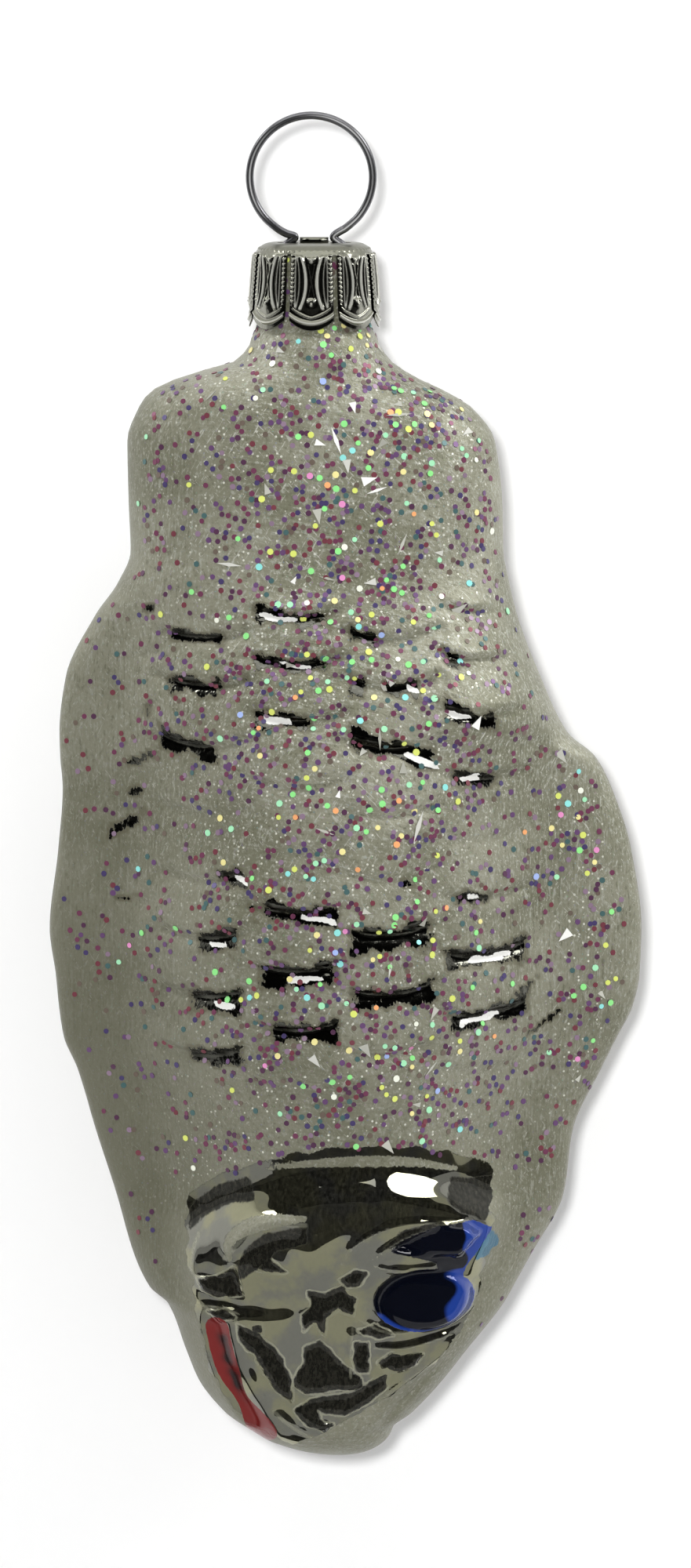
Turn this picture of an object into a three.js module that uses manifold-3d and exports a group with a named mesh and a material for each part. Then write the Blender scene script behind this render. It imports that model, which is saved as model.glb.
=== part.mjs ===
// A mould-blown glass fish ornament that hangs head down. It is three pieces: the hollow glass fish with
// its open neck, a stamped sheet-metal cap that stands over the neck, and a spring wire whose legs pass
// through the cap and press in the bore. Millimetres, +Z up, -Y is the front. The origin is the point
// inside the loop's crown where a hook bears.
import * as THREE from "three";
import { mergeVertices } from "three/addons/utils/BufferGeometryUtils.js";
import Module from "manifold-3d";

const wasm = await Module();
wasm.setup();

// Running gap between pieces that seat on each other, and the cap's sheet.
const SEAT_GAP = 0.3;
const SHEET = 0.3;

// Wire hanger.
const WIRE_D = 0.6;
const LOOP_INNER_R = 5.1;
const LOOP_GAP_DEG = 65;
const LOOP_LEAN = -0.26;
const LOOP_TO_CAP = 5.9;
const PINCH_HALF = 1.5;
const PINCH_RISE = 0.5;
const PINCH_BEND = 0.75;
const PINCH_SPREAD = 1.0;
const LEG_DROP = 15;
const LEG_SPREAD_DROP = 4;
const LEG_BOW = 0.3;

// Glass neck.
const NECK_OUTER_R = 4.7;
const NECK_WALL = 0.8;
const RIM_ROUND = 0.45;
const COLLAR_R = 5.7;
const COLLAR_DROP = 1.6;
const FLARE_LENGTH = 2.4;

// Stamped cap.
const CAP_HEIGHT = 7.4;
const SKIRT_FLARE = 0.45;
const SHOULDER_R = 1.1;
const PANELS = 8;
const PANEL_TURN_DEG = -2.4;
const SLIT_WIDTH = 0.5;
const SLIT_TOP = 0.9;
const SCALLOP = 1.1;
const EMBOSS = 0.22;
const LIP_FLARE = 0.25;
const SLOT_WIDTH = 1.0;
const SLOT_PLAY = 0.2;
const BRIDGE_WIDTH = 0.8;
const BRIDGE_HEIGHT = 0.5;
const BRIDGE_TO_WIRE = 0.2;

// Glass fish below the neck.
const BODY_LENGTH = 99.3;
const BODY_WIDTH = 52.5;
const BODY_DEPTH = 28;
const BODY_WALL = 0.75;
const NOSE_ROUND = 3.5;
const FIN_ROOT_HALF = 4.2;
const FIN_BLEND = 4.5;
const BODY_POWER = 2.6;
const RIM_WALL = 1.2;

// Scales, in columns where every second one is set off by a part of a row. Their free edges hang down,
// towards the head, and the rows climb a little to the right. In one band over the widest part they lie
// nearly flat.
const SCALE_COLUMN = 8.4;
const SCALE_ROW = 5.4;
const SCALE_SAG = 1.4;
const SCALE_DEPTH = 0.95;
const SCALE_STEP = 0.9;
const SCALE_FIRST_X = -9.8;
const SCALE_FIRST_DROP = 23.1;
const SCALE_ROWS = 8;
const SCALE_OFFSET = 0.41;
const SCALE_CLIMB = 0.06;
const SCALE_MARGIN = 4;
const FLAT_BAND = { drop: 42.3, half: 3.6, share: 0.62 };

// Mesh fineness.
const AROUND = 60;
const TAIL_RINGS = 9;
const HEAD_RINGS = 26;
const NOSE_RINGS = 6;
const CAVITY_AROUND = 32;
const CAVITY_RINGS = 26;
const CAP_AROUND = 64;
const CAP_INNER_AROUND = 32;
const WIRE_SIDES = 8;
const WIRE_STEPS = 66;

// Places that follow from the sizes.
const wireR = WIRE_D / 2;
const loopR = LOOP_INNER_R + wireR;
const loopZ = -LOOP_INNER_R;
const capTop = loopZ - LOOP_TO_CAP;
const capHem = capTop - CAP_HEIGHT;
const rimZ = capTop - SHEET - SEAT_GAP;
const boreR = NECK_OUTER_R - NECK_WALL;
const skirtR = NECK_OUTER_R + SEAT_GAP + SHEET;
const bodyTop = capHem - COLLAR_DROP;
const noseZ = bodyTop - BODY_LENGTH;
const legX = boreR - SEAT_GAP - wireR;
const pinchZ = capTop + PINCH_RISE;
const pinchSlope = PINCH_SPREAD / (PINCH_RISE + SHEET);
const lastScale = SCALE_FIRST_DROP + SCALE_ROWS * SCALE_ROW;

// Outline of the fish from the neck to the nose: the share of its length below the neck, then how far the
// left and right edges stand from the neck's axis, as shares of its width.
const OUTLINE = [
  [0.014, 0.131, 0.128],
  [0.028, 0.221, 0.167],
  [0.042, 0.276, 0.223],
  [0.056, 0.295, 0.265],
  [0.085, 0.314, 0.303],
  [0.141, 0.312, 0.316],
  [0.183, 0.309, 0.318],
  [0.212, 0.331, 0.328],
  [0.24, 0.368, 0.341],
  [0.296, 0.419, 0.381],
  [0.346, 0.43, 0.427],
  [0.367, 0.429, 0.473],
  [0.395, 0.425, 0.501],
  [0.451, 0.433, 0.535],
  [0.522, 0.448, 0.553],
  [0.564, 0.438, 0.55],
  [0.592, 0.433, 0.539],
  [0.62, 0.425, 0.513],
  [0.649, 0.402, 0.486],
  [0.705, 0.371, 0.438],
  [0.762, 0.337, 0.423],
  [0.818, 0.307, 0.368],
  [0.846, 0.282, 0.339],
  [0.86, 0.251, 0.324],
  [0.903, 0.22, 0.26],
  [0.931, 0.198, 0.219],
  [0.959, 0.156, 0.17],
  [0.973, 0.122, 0.139],
  [0.987, 0.1, 0.148],
  [1, 0.076, 0.16],
];
// Half the thickness, as a share of the depth, and the width of the fin flange on each side, as a share
// of the width.
const THICKNESS = [
  [0.028, 0.225],
  [0.056, 0.257],
  [0.113, 0.286],
  [0.183, 0.307],
  [0.24, 0.357],
  [0.31, 0.429],
  [0.395, 0.482],
  [0.5, 0.5],
  [0.607, 0.486],
  [0.691, 0.457],
  [0.748, 0.436],
  [0.818, 0.407],
  [0.889, 0.343],
  [0.945, 0.279],
  [1, 0.2],
];
const LEFT_FIN = [
  [0.19, 0],
  [0.26, 0.067],
  [0.35, 0.095],
  [0.52, 0.114],
  [0.7, 0.095],
  [0.79, 0.061],
  [0.846, 0.038],
  [0.862, 0],
];
const RIGHT_FIN = [
  [0.31, 0],
  [0.37, 0.067],
  [0.45, 0.124],
  [0.52, 0.143],
  [0.62, 0.124],
  [0.7, 0.086],
  [0.79, 0.057],
  [0.86, 0.038],
  [0.9, 0],
];

// Relief of the head: each place is right of the neck's axis and above the nose, in millimetres, and arcs
// run between two angles with their ends faded over a few degrees. The gill cover stands out inside its
// round edge and sinks back into the face.
const GILL = { x: 4.3, up: 5.3, r: 23.4, from: 0.9, to: 4.3, sinksFrom: 5.5, sinksTo: 15, height: 1.7 };
const GILL_FOOT = { upFrom: 13.3, upTo: 19.3, inside: 1.6 };
const ARC_FADE = { before: 8, after: 12 };
const EYE = { x: 9.8, up: 15.1, halfX: 4.3, halfUp: 2.7, height: 1.1, ringWidth: 0.18, ringDepth: 0.3 };
const LID = { x: 9, up: 14.8, r: 7.85, width: 0.65, height: 0.4, from: 35, to: 148 };
const LID_LENS = { x: 10.6, up: 20.6, halfX: 3.8, halfUp: 1.2, height: 0.45 };
const CHEEK = { x: -2.2, up: 17, r: 5.85, width: 0.75, height: 0.7, from: 75, to: 162 };
const JAW = { x: 8.6, up: 20.5, r: 8.4, width: 0.7, height: 0.35, from: 237, to: 305 };
const MOUTH = { x: 14.1, up: 16.5, r: 23, width: 0.85, depth: 0.5, from: 189, to: 216 };
const LIPS = { off: 1.6, height: 0.35 };
const SNOUT = { x: 1.5, up: 7.5, halfX: 3.6, halfUp: 4, height: 0.35 };

const smoothstep = (a, b, x) => {
  const q = THREE.MathUtils.clamp((x - a) / (b - a), 0, 1);
  return q * q * (3 - 2 * q);
};
const hump = (x) => Math.exp(-x * x);

// A smooth curve through [at, value] knots that never overshoots them.
function curveThrough(knots) {
  const n = knots.length;
  const slope = [];
  for (let i = 0; i < n - 1; i++) {
    slope.push((knots[i + 1][1] - knots[i][1]) / (knots[i + 1][0] - knots[i][0]));
  }
  const tangent = knots.map((_, i) => {
    if (i === 0 || i === n - 1) return slope[Math.min(i, n - 2)];
    const [a, b] = [slope[i - 1], slope[i]];
    return a * b <= 0 ? 0 : (2 * a * b) / (a + b);
  });
  return (at) => {
    if (at <= knots[0][0]) return knots[0][1];
    if (at >= knots[n - 1][0]) return knots[n - 1][1];
    const i = knots.findIndex((k) => k[0] > at) - 1;
    const h = knots[i + 1][0] - knots[i][0];
    const q = (at - knots[i][0]) / h;
    const [a, b] = [knots[i][1], knots[i + 1][1]];
    const cubic = 2 * q ** 3 - 3 * q ** 2;
    return (
      a * (cubic + 1) + b * -cubic + h * (tangent[i] * (q - 1) ** 2 * q + tangent[i + 1] * (q - 1) * q ** 2)
    );
  };
}

// Each curve gives a size at a share of the fish's length, and starts from the neck's round collar.
const leftEdge = curveThrough([[0, COLLAR_R], ...OUTLINE.map(([at, left]) => [at, left * BODY_WIDTH])]);
const rightEdge = curveThrough([[0, COLLAR_R], ...OUTLINE.map(([at, , right]) => [at, right * BODY_WIDTH])]);
const halfDepth = curveThrough([[0, COLLAR_R], ...THICKNESS.map(([at, half]) => [at, half * BODY_DEPTH])]);
const leftFin = curveThrough(LEFT_FIN.map(([at, wide]) => [at, wide * BODY_WIDTH]));
const rightFin = curveThrough(RIGHT_FIN.map(([at, wide]) => [at, wide * BODY_WIDTH]));

// Radius of the neck at height z: straight under the cap, then flared to the collar. Its rim is melted round.
function neckRadius(z) {
  return NECK_OUTER_R + (COLLAR_R - NECK_OUTER_R) * smoothstep(bodyTop + FLARE_LENGTH, bodyTop, z);
}
function rimRounding(z) {
  const up = Math.max(0, z - rimZ + RIM_ROUND);
  return RIM_ROUND - Math.sqrt(Math.max(0, RIM_ROUND ** 2 - up ** 2));
}

// A raised arc of a circle, faded at its two ends.
function arcRidge(x, up, { x: cx, up: cUp, r, width, height, from, to }) {
  const turn = THREE.MathUtils.radToDeg(Math.atan2(up - cUp, x - cx));
  const angle = turn < from - 90 ? turn + 360 : turn;
  const { before, after } = ARC_FADE;
  const ends = smoothstep(from - before, from + after, angle) * smoothstep(to + before, to - after, angle);
  return height * ends * hump((Math.hypot(x - cx, up - cUp) - r) / width);
}
const mound = (x, up, { x: cx, up: cUp, halfX, halfUp, height }) =>
  height * hump(Math.hypot((x - cx) / halfX, (up - cUp) / halfUp));

// How far a scale's free edge lies below the level of its row: rounded over the column, and climbing to
// the right.
function scaleSag(x) {
  const across = (x - SCALE_FIRST_X) / SCALE_COLUMN;
  const rounded = SCALE_SAG * (1 - (2 * (across - Math.round(across))) ** 2);
  return rounded - SCALE_CLIMB * (x - SCALE_FIRST_X);
}

// A scale rises from the foot of the one above it to its own free edge, then steps down.
function scaleHeight(column, rows) {
  const phase = THREE.MathUtils.euclideanModulo(rows + (column % 2 ? SCALE_OFFSET : 0), 1);
  const step = SCALE_STEP / SCALE_ROW;
  return phase < step ? 1 - phase / step : Math.sqrt((phase - step) / (1 - step));
}
function scaleRelief(x, drop) {
  const columns = (x - SCALE_FIRST_X) / SCALE_COLUMN;
  const near = Math.round(columns);
  const off = columns - near;
  const side = off < 0 ? near - 1 : near + 1;
  const mix = 0.5 * smoothstep(0.38, 0.5, Math.abs(off));
  const rows = (drop - SCALE_FIRST_DROP - scaleSag(x)) / SCALE_ROW;
  const height = (1 - mix) * scaleHeight(near, rows) + mix * scaleHeight(side, rows);
  const fadeIn = smoothstep(SCALE_FIRST_DROP - SCALE_ROW / 2, SCALE_FIRST_DROP, drop);
  const fadeOut = smoothstep(lastScale, lastScale - SCALE_ROW, drop);
  const flat = 1 - FLAT_BAND.share * hump((drop - FLAT_BAND.drop) / FLAT_BAND.half);
  return (height - 0.5) * SCALE_DEPTH * fadeIn * fadeOut * flat;
}

// The gill cover, drawn in by a distance from its round edge where the inside of the glass follows it.
function gillCover(x, up, drawnIn) {
  const inside = GILL.r - Math.hypot(x - GILL.x, up - GILL.up) - drawnIn;
  const cover = smoothstep(GILL.from, GILL.to, inside) * smoothstep(GILL.sinksTo, GILL.sinksFrom, inside);
  return GILL.height * cover * smoothstep(GILL_FOOT.upFrom, GILL_FOOT.upTo, up);
}
function headRelief(x, up) {
  const eye = Math.hypot((x - EYE.x) / EYE.halfX, (up - EYE.up) / EYE.halfUp);
  const mouth = Math.hypot(x - MOUTH.x, up - MOUTH.up) - MOUTH.r;
  const along = arcRidge(x, up, { ...MOUTH, r: MOUTH.r + mouth, height: 1 });
  return (
    gillCover(x, up, 0) +
    EYE.height * Math.sqrt(Math.max(0, 1 - eye ** 2)) -
    EYE.ringDepth * hump((eye - 1 - EYE.ringWidth) / EYE.ringWidth) +
    arcRidge(x, up, LID) +
    mound(x, up, LID_LENS) +
    arcRidge(x, up, CHEEK) +
    arcRidge(x, up, JAW) +
    mound(x, up, SNOUT) +
    along * LIPS.height * hump((Math.abs(mouth) - LIPS.off) / MOUTH.width) -
    along * MOUTH.depth * hump(mouth / MOUTH.width)
  );
}

// Where x lies between the keel line, along which the fish is thickest, and the fish's edge on that side:
// out is 1 at the edge, and bulgeOut is 1 where the body's bulge ends and the fin starts.
function placeAcross(x, share) {
  const [left, right, finL, finR] = [leftEdge, rightEdge, leftFin, rightFin].map((curve) => curve(share));
  const keel = (right - finR - left + finL) / 2;
  const edge = x < keel ? left + keel : right - keel;
  const fin = x < keel ? finL : finR;
  const off = Math.abs(x - keel);
  return { fin, out: Math.min(1, off / edge), bulgeOut: Math.min(1, off / (edge - fin)) };
}

// Half the fish's thickness at x: a thin base out to the fin's rim, and on it the bulge of the body.
function halfThickness(x, share) {
  const { fin, out, bulgeOut } = placeAcross(x, share);
  const full = halfDepth(share);
  const base = full + (Math.min(full, FIN_ROOT_HALF) - full) * smoothstep(0, FIN_BLEND, fin);
  const power = 2 + (BODY_POWER - 2) * smoothstep(0, 0.2, share);
  return base * Math.sqrt(1 - out ** power) + (full - base) * (1 - bulgeOut ** 2) ** 1.5;
}

// Where a turn round the section lies across the fish: -1 at its left edge, 1 at its right, fairly even
// between.
function acrossAt(turn) {
  const even = 1 - (2 * Math.acos(THREE.MathUtils.clamp(Math.cos(turn), -1, 1))) / Math.PI;
  return 0.6 * even + 0.4 * Math.cos(turn);
}

// How far the nose has closed at height z, from 1 above its rounding to 0 at its tip.
function closingAt(z) {
  const toNose = Math.max(0, z - noseZ);
  return toNose < NOSE_ROUND ? Math.sqrt(Math.max(0, 1 - (1 - toNose / NOSE_ROUND) ** 2)) : 1;
}

// 1 where the rings follow the scales' rounded edges, fading out above the first row and below the last.
function scalesAt(drop) {
  const [first, last] = [SCALE_FIRST_DROP, lastScale].map((at) => at - SCALE_OFFSET * SCALE_ROW);
  return smoothstep(first - SCALE_MARGIN, first, drop) * smoothstep(last + SCALE_MARGIN, last, drop);
}

// A point of the outside.
function fishPoint(turn, drop) {
  const front = Math.sin(turn);
  if (drop <= 0) {
    const r = neckRadius(bodyTop - drop) - rimRounding(bodyTop - drop);
    return new THREE.Vector3(r * Math.cos(turn), -r * front, bodyTop - drop);
  }
  const widthAt = drop / BODY_LENGTH;
  const round = closingAt(bodyTop - drop);
  const [left, right] = [leftEdge(widthAt), rightEdge(widthAt)];
  const blend = smoothstep(0, 0.06, widthAt);
  const across = (1 - blend) * Math.cos(turn) + blend * acrossAt(turn);
  const middle = (right - left) / 2;
  const x = middle + ((right + left) / 2) * round * across;
  const onBody = smoothstep(1, 0.8, placeAcross(x, widthAt).bulgeOut);
  const z = bodyTop - drop - scaleSag(x) * scalesAt(drop) * onBody;
  const share = (bodyTop - z) / BODY_LENGTH;
  const flat = halfThickness(middle + (x - middle) / round, share) * round;
  const depth = flat + (scaleRelief(x, bodyTop - z) + headRelief(x, z - noseZ)) * onBody * round;
  return new THREE.Vector3(x, -depth * Math.sign(front), z);
}

// How far inside an edge of the fish its hollow ends, so that the rim's wall is measured square to the edge.
// Slopes are taken over SLOPE_STEP to both sides.
const SLOPE_STEP = 0.3;
const slopeStepShare = SLOPE_STEP / BODY_LENGTH;
function hollowEdge(edge, share) {
  const slope = (edge(share + slopeStepShare) - edge(share - slopeStepShare)) / (2 * SLOPE_STEP);
  return edge(share) - RIM_WALL * Math.hypot(1, slope);
}

// A point of the hollow: the body's form with the gill cover, thinner by the wall measured square to the
// surface. It closes to THINNEST_HOLLOW towards the rim, and the slope counts up to STEEPEST there.
const THINNEST_HOLLOW = 0.1;
const STEEPEST = 2;
function hollowPoint(turn, drop, wall) {
  const share = drop / BODY_LENGTH;
  const round = closingAt(bodyTop - drop - wall);
  const [left, right] = [hollowEdge(leftEdge, share), hollowEdge(rightEdge, share)];
  const x = (right - left) / 2 + ((right + left) / 2) * round * Math.cos(turn);
  const [east, west] = [x + SLOPE_STEP, x - SLOPE_STEP].map((at) => halfThickness(at, share));
  const [below, above] = [share + slopeStepShare, share - slopeStepShare].map((at) => halfThickness(x, at));
  const slopes = [east - west, below - above].map((rise) => rise / (2 * SLOPE_STEP));
  const slant = Math.min(STEEPEST, Math.hypot(1, ...slopes));
  const closed = Math.min(1, 2.5 * Math.abs(Math.sin(turn)));
  const onBody = smoothstep(0.9, 0.6, placeAcross(x, share).bulgeOut);
  const cover = gillCover(x, BODY_LENGTH - drop, GILL_FOOT.inside) * onBody;
  const depth = Math.max(THINNEST_HOLLOW, halfThickness(x, share) + cover - wall * slant) * closed * round;
  return new THREE.Vector3(x, -depth * Math.sign(Math.sin(turn)), bodyTop - drop);
}

const solidFrom = (geometry) => {
  geometry.deleteAttribute("normal");
  geometry.deleteAttribute("uv");
  const merged = mergeVertices(geometry, 1e-4);
  return new wasm.Manifold(
    new wasm.Mesh({
      numProp: 3,
      vertProperties: merged.attributes.position.array,
      triVerts: new Uint32Array(merged.index.array),
    }),
  );
};
function geometryFrom(solid) {
  const mesh = solid.getMesh();
  const geometry = new THREE.BufferGeometry();
  geometry.setAttribute("position", new THREE.BufferAttribute(Float32Array.from(mesh.vertProperties), 3));
  geometry.setIndex(new THREE.BufferAttribute(Uint32Array.from(mesh.triVerts), 1));
  geometry.computeVertexNormals();
  return geometry;
}

// A closed skin over rings of points listed from the top down, each run counter-clockwise seen from
// above, with a point at each end.
function skin(rings, top, bottom) {
  const around = rings[0].length;
  const points = [top, ...rings.flat(), bottom];
  const last = points.length - 1;
  const at = (ring, i) => 1 + ring * around + (i % around);
  const faces = [];
  for (let i = 0; i < around; i++) {
    faces.push(0, at(0, i), at(0, i + 1));
    for (let ring = 0; ring < rings.length - 1; ring++) {
      faces.push(at(ring, i), at(ring + 1, i), at(ring + 1, i + 1));
      faces.push(at(ring, i), at(ring + 1, i + 1), at(ring, i + 1));
    }
    faces.push(at(rings.length - 1, i), last, at(rings.length - 1, i + 1));
  }
  const geometry = new THREE.BufferGeometry().setFromPoints(points);
  geometry.setIndex(faces);
  return geometry;
}
const turnsOf = (count) => Array.from({ length: count }, (_, i) => -(i * 2 * Math.PI) / count);

// Drops below the collar for the rings: even along the tail and the head, closer together where the nose
// rounds off. Each row of scales takes four, at the free edges and the feet of the odd and of the even
// columns.
function ringDrops() {
  const drops = [];
  const lead = SCALE_OFFSET * SCALE_ROW;
  const [scalesStart, scalesEnd] = [SCALE_FIRST_DROP - lead, lastScale - lead];
  const roundFrom = BODY_LENGTH - NOSE_ROUND;
  for (let i = 0; i < TAIL_RINGS; i++) drops.push((scalesStart * i) / TAIL_RINGS);
  for (let row = 0; row < SCALE_ROWS; row++) {
    for (const edge of [scalesStart, SCALE_FIRST_DROP]) {
      drops.push(edge + row * SCALE_ROW, edge + row * SCALE_ROW + SCALE_STEP);
    }
  }
  for (let i = 0; i < HEAD_RINGS; i++) drops.push(scalesEnd + ((roundFrom - scalesEnd) * i) / HEAD_RINGS);
  for (let i = 0; i < NOSE_RINGS; i++) {
    drops.push(BODY_LENGTH - NOSE_ROUND * (1 - Math.sin((i / NOSE_RINGS) * (Math.PI / 2))));
  }
  return drops;
}

function glassFish() {
  const flareRings = [1, 0.66, 0.33].map((part) => -part * FLARE_LENGTH);
  const neckDrops = [bodyTop - rimZ, bodyTop - rimZ + RIM_ROUND, ...flareRings];
  const noseX = (rightEdge(1) - leftEdge(1)) / 2;
  const turns = turnsOf(AROUND);
  const rings = [...neckDrops, ...ringDrops()].map((drop) => turns.map((turn) => fishPoint(turn, drop)));
  const outside = skin(rings, new THREE.Vector3(0, 0, rimZ), new THREE.Vector3(noseX, 0, noseZ));

  const wall = BODY_WALL + SCALE_DEPTH / 2;
  const mouth = neckDrops[0] - 1;
  const bore = [mouth, ...flareRings, 0].map((drop) =>
    turnsOf(CAVITY_AROUND).map((turn) => {
      const r = neckRadius(bodyTop - drop) - NECK_WALL;
      return new THREE.Vector3(r * Math.cos(turn), -r * Math.sin(turn), bodyTop - drop);
    }),
  );
  const deepest = BODY_LENGTH - wall;
  const lastRing = deepest - THINNEST_HOLLOW / 2;
  const hollow = [];
  for (let i = 1; i <= CAVITY_RINGS; i++) {
    const drop = (lastRing * (1 - Math.cos((i / CAVITY_RINGS) * Math.PI))) / 2;
    hollow.push(turnsOf(CAVITY_AROUND).map((turn) => hollowPoint(turn, drop, wall)));
  }
  const cavity = skin(
    [...bore, ...hollow],
    new THREE.Vector3(0, 0, bodyTop - mouth),
    new THREE.Vector3(noseX, 0, bodyTop - deepest),
  );
  return solidFrom(outside).subtract(solidFrom(cavity));
}

// Embossing of one cap panel: u runs from -1 to 1 across it, v from 0 at the shoulder to 1 at the hem.
function panelRelief(u, v) {
  const bow = 0.24 + 0.42 * ((v - 0.42) / 0.42) ** 2;
  const upright = smoothstep(0.9, 0.78, v);
  const pair = hump((Math.abs(u) - bow) / 0.13) + 0.7 * hump((Math.abs(u) - 0.86) / 0.08);
  const beads = hump(Math.hypot(u / 0.22, (v - 0.07) / 0.06)) + hump(Math.hypot(u / 0.26, (v - 0.74) / 0.08));
  const lip = smoothstep(0.84, 0.95, v);
  return EMBOSS * (upright * pair + beads) + LIP_FLARE * lip;
}

// A ring of the cap's skirt: v runs from 0 at the shoulder to 1 at the scalloped hem, and the inside,
// which is cut away, runs on past the hem.
const PAST_HEM = 0.5;
function skirtRing(turns, v, inset, radiusAt) {
  const shoulderZ = capTop - SHOULDER_R;
  return turns.map((turn) => {
    const from = (turn - THREE.MathUtils.degToRad(90 - PANEL_TURN_DEG)) / ((2 * Math.PI) / PANELS);
    const u = 2 * (from - Math.round(from));
    const hem = capHem + SCALLOP * u * u - (inset && v === 1 ? PAST_HEM : 0);
    const r = skirtR + SKIRT_FLARE * v - inset + radiusAt(u, v);
    return new THREE.Vector3(r * Math.cos(turn), -r * Math.sin(turn), shoulderZ + (hem - shoulderZ) * v);
  });
}

function stampedCap() {
  const flatR = skirtR - SHOULDER_R;
  const ringPoint = (turn, r, z) => new THREE.Vector3(r * Math.cos(turn), -r * Math.sin(turn), z);
  const flatRing = (around, r, z) => around.map((turn) => ringPoint(turn, r, z));
  const turns = turnsOf(CAP_AROUND);
  const shoulderRing = (around, r, lean) => {
    const a = THREE.MathUtils.degToRad(lean);
    return flatRing(around, flatR + r * Math.sin(a), capTop - SHOULDER_R + r * Math.cos(a));
  };
  const outer = [flatRing(turns, flatR, capTop)];
  for (const lean of [30, 60]) outer.push(shoulderRing(turns, SHOULDER_R, lean));
  for (const v of [0, 0.2, 0.42, 0.64, 0.82, 0.93, 1]) outer.push(skirtRing(turns, v, 0, panelRelief));
  const lip = (u, v) => LIP_FLARE * smoothstep(0.84, 0.95, v);
  const innerTurns = turnsOf(CAP_INNER_AROUND);
  const inner = [flatRing(innerTurns, flatR, capTop - SHEET)];
  inner.push(shoulderRing(innerTurns, SHOULDER_R - SHEET, 45));
  for (const v of [0, 0.45, 0.87, 1]) inner.push(skirtRing(innerTurns, v, SHEET, lip));
  const full = skin(outer, new THREE.Vector3(0, 0, capTop), new THREE.Vector3(0, 0, capHem));
  const hollow = skin(inner, new THREE.Vector3(0, 0, capTop - SHEET), new THREE.Vector3(0, 0, capHem - 1));
  const shell = solidFrom(full).subtract(solidFrom(hollow));

  // Slits between the panels, each cut right across the cap, and the two slots for the wire.
  const slitDepth = CAP_HEIGHT + 1;
  const cuts = [];
  for (let i = 0; i < PANELS / 2; i++) {
    const slit = new THREE.BoxGeometry(4 * skirtR, SLIT_WIDTH, slitDepth);
    slit.translate(0, 0, capTop - SLIT_TOP - slitDepth / 2);
    slit.rotateZ(-THREE.MathUtils.degToRad(90 - PANEL_TURN_DEG) + ((i + 0.5) * 2 * Math.PI) / PANELS);
    cuts.push(slit);
  }
  for (const side of [-1, 1]) {
    const slot = new THREE.CylinderGeometry(SLOT_WIDTH / 2, SLOT_WIDTH / 2, 4 * SHEET, 12);
    slot.rotateX(Math.PI / 2);
    slot.scale(slotLength() / SLOT_WIDTH, 1, 1);
    slot.translate(side * (PINCH_HALF + pinchSlope * (PINCH_RISE + SHEET / 2)), 0, capTop - SHEET / 2);
    cuts.push(slot);
  }
  let cap = shell;
  for (const cut of cuts) cap = cap.subtract(solidFrom(cut));

  // The bridge, a rib pressed up between the two slots.
  const bridgeHalf = PINCH_HALF - wireR - BRIDGE_TO_WIRE;
  const rib = new THREE.Shape();
  rib.moveTo(-bridgeHalf, -SHEET / 2);
  rib.lineTo(bridgeHalf, -SHEET / 2);
  rib.lineTo(bridgeHalf, BRIDGE_HEIGHT / 2);
  rib.quadraticCurveTo(bridgeHalf, BRIDGE_HEIGHT, bridgeHalf - BRIDGE_HEIGHT / 2, BRIDGE_HEIGHT);
  rib.lineTo(-bridgeHalf + BRIDGE_HEIGHT / 2, BRIDGE_HEIGHT);
  rib.quadraticCurveTo(-bridgeHalf, BRIDGE_HEIGHT, -bridgeHalf, BRIDGE_HEIGHT / 2);
  const ribSides = { depth: BRIDGE_WIDTH, bevelEnabled: false, curveSegments: 4 };
  const bridge = new THREE.ExtrudeGeometry(rib, ribSides);
  bridge.translate(0, 0, -BRIDGE_WIDTH / 2);
  bridge.rotateX(Math.PI / 2);
  bridge.translate(0, 0, capTop);
  return cap.add(solidFrom(bridge));
}

// A slot is as long as the slanted wire needs on its way through the sheet, with play at both ends.
function slotLength() {
  return WIRE_D * Math.hypot(1, pinchSlope) + pinchSlope * SHEET + 2 * SLOT_PLAY;
}

// The wire: up from one leg's end, out of the cap, round the loop and back down the other leg.
function wireHanger() {
  const half = [
    [legX, capTop - LEG_DROP],
    [legX, capTop - LEG_DROP * 0.6],
    [legX - LEG_BOW / 6, capTop - LEG_SPREAD_DROP],
    [legX - LEG_BOW, capTop - LEG_SPREAD_DROP * 0.4],
    [PINCH_HALF + PINCH_SPREAD, capTop - SHEET],
    [PINCH_HALF, pinchZ],
    [PINCH_HALF + PINCH_BEND, pinchZ + PINCH_BEND * 0.8],
  ];
  const right = half.map(([x, z]) => new THREE.Vector3(x, 0, z));
  const left = half.map(([x, z]) => new THREE.Vector3(-x, 0, z)).reverse();
  const loop = [];
  const span = 360 - LOOP_GAP_DEG;
  const steps = 16;
  for (let i = 0; i <= steps; i++) {
    const a = THREE.MathUtils.degToRad(-90 + LOOP_GAP_DEG / 2 + (span * i) / steps);
    loop.push(new THREE.Vector3(LOOP_LEAN + loopR * Math.cos(a), 0, loopZ + loopR * Math.sin(a)));
  }
  const path = new THREE.CatmullRomCurve3([...right, ...loop, ...left], false, "centripetal");
  path.arcLengthDivisions = 800;
  const section = new THREE.Shape();
  for (let i = 0; i < WIRE_SIDES; i++) {
    const a = (i * 2 * Math.PI) / WIRE_SIDES;
    if (i === 0) section.moveTo(wireR, 0);
    else section.lineTo(wireR * Math.cos(a), wireR * Math.sin(a));
  }
  return new THREE.ExtrudeGeometry(section, { steps: WIRE_STEPS, extrudePath: path });
}

function piece(name, geometry, material) {
  const mesh = new THREE.Mesh(geometry, new THREE.MeshStandardMaterial(material));
  mesh.name = name;
  return mesh;
}

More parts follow.
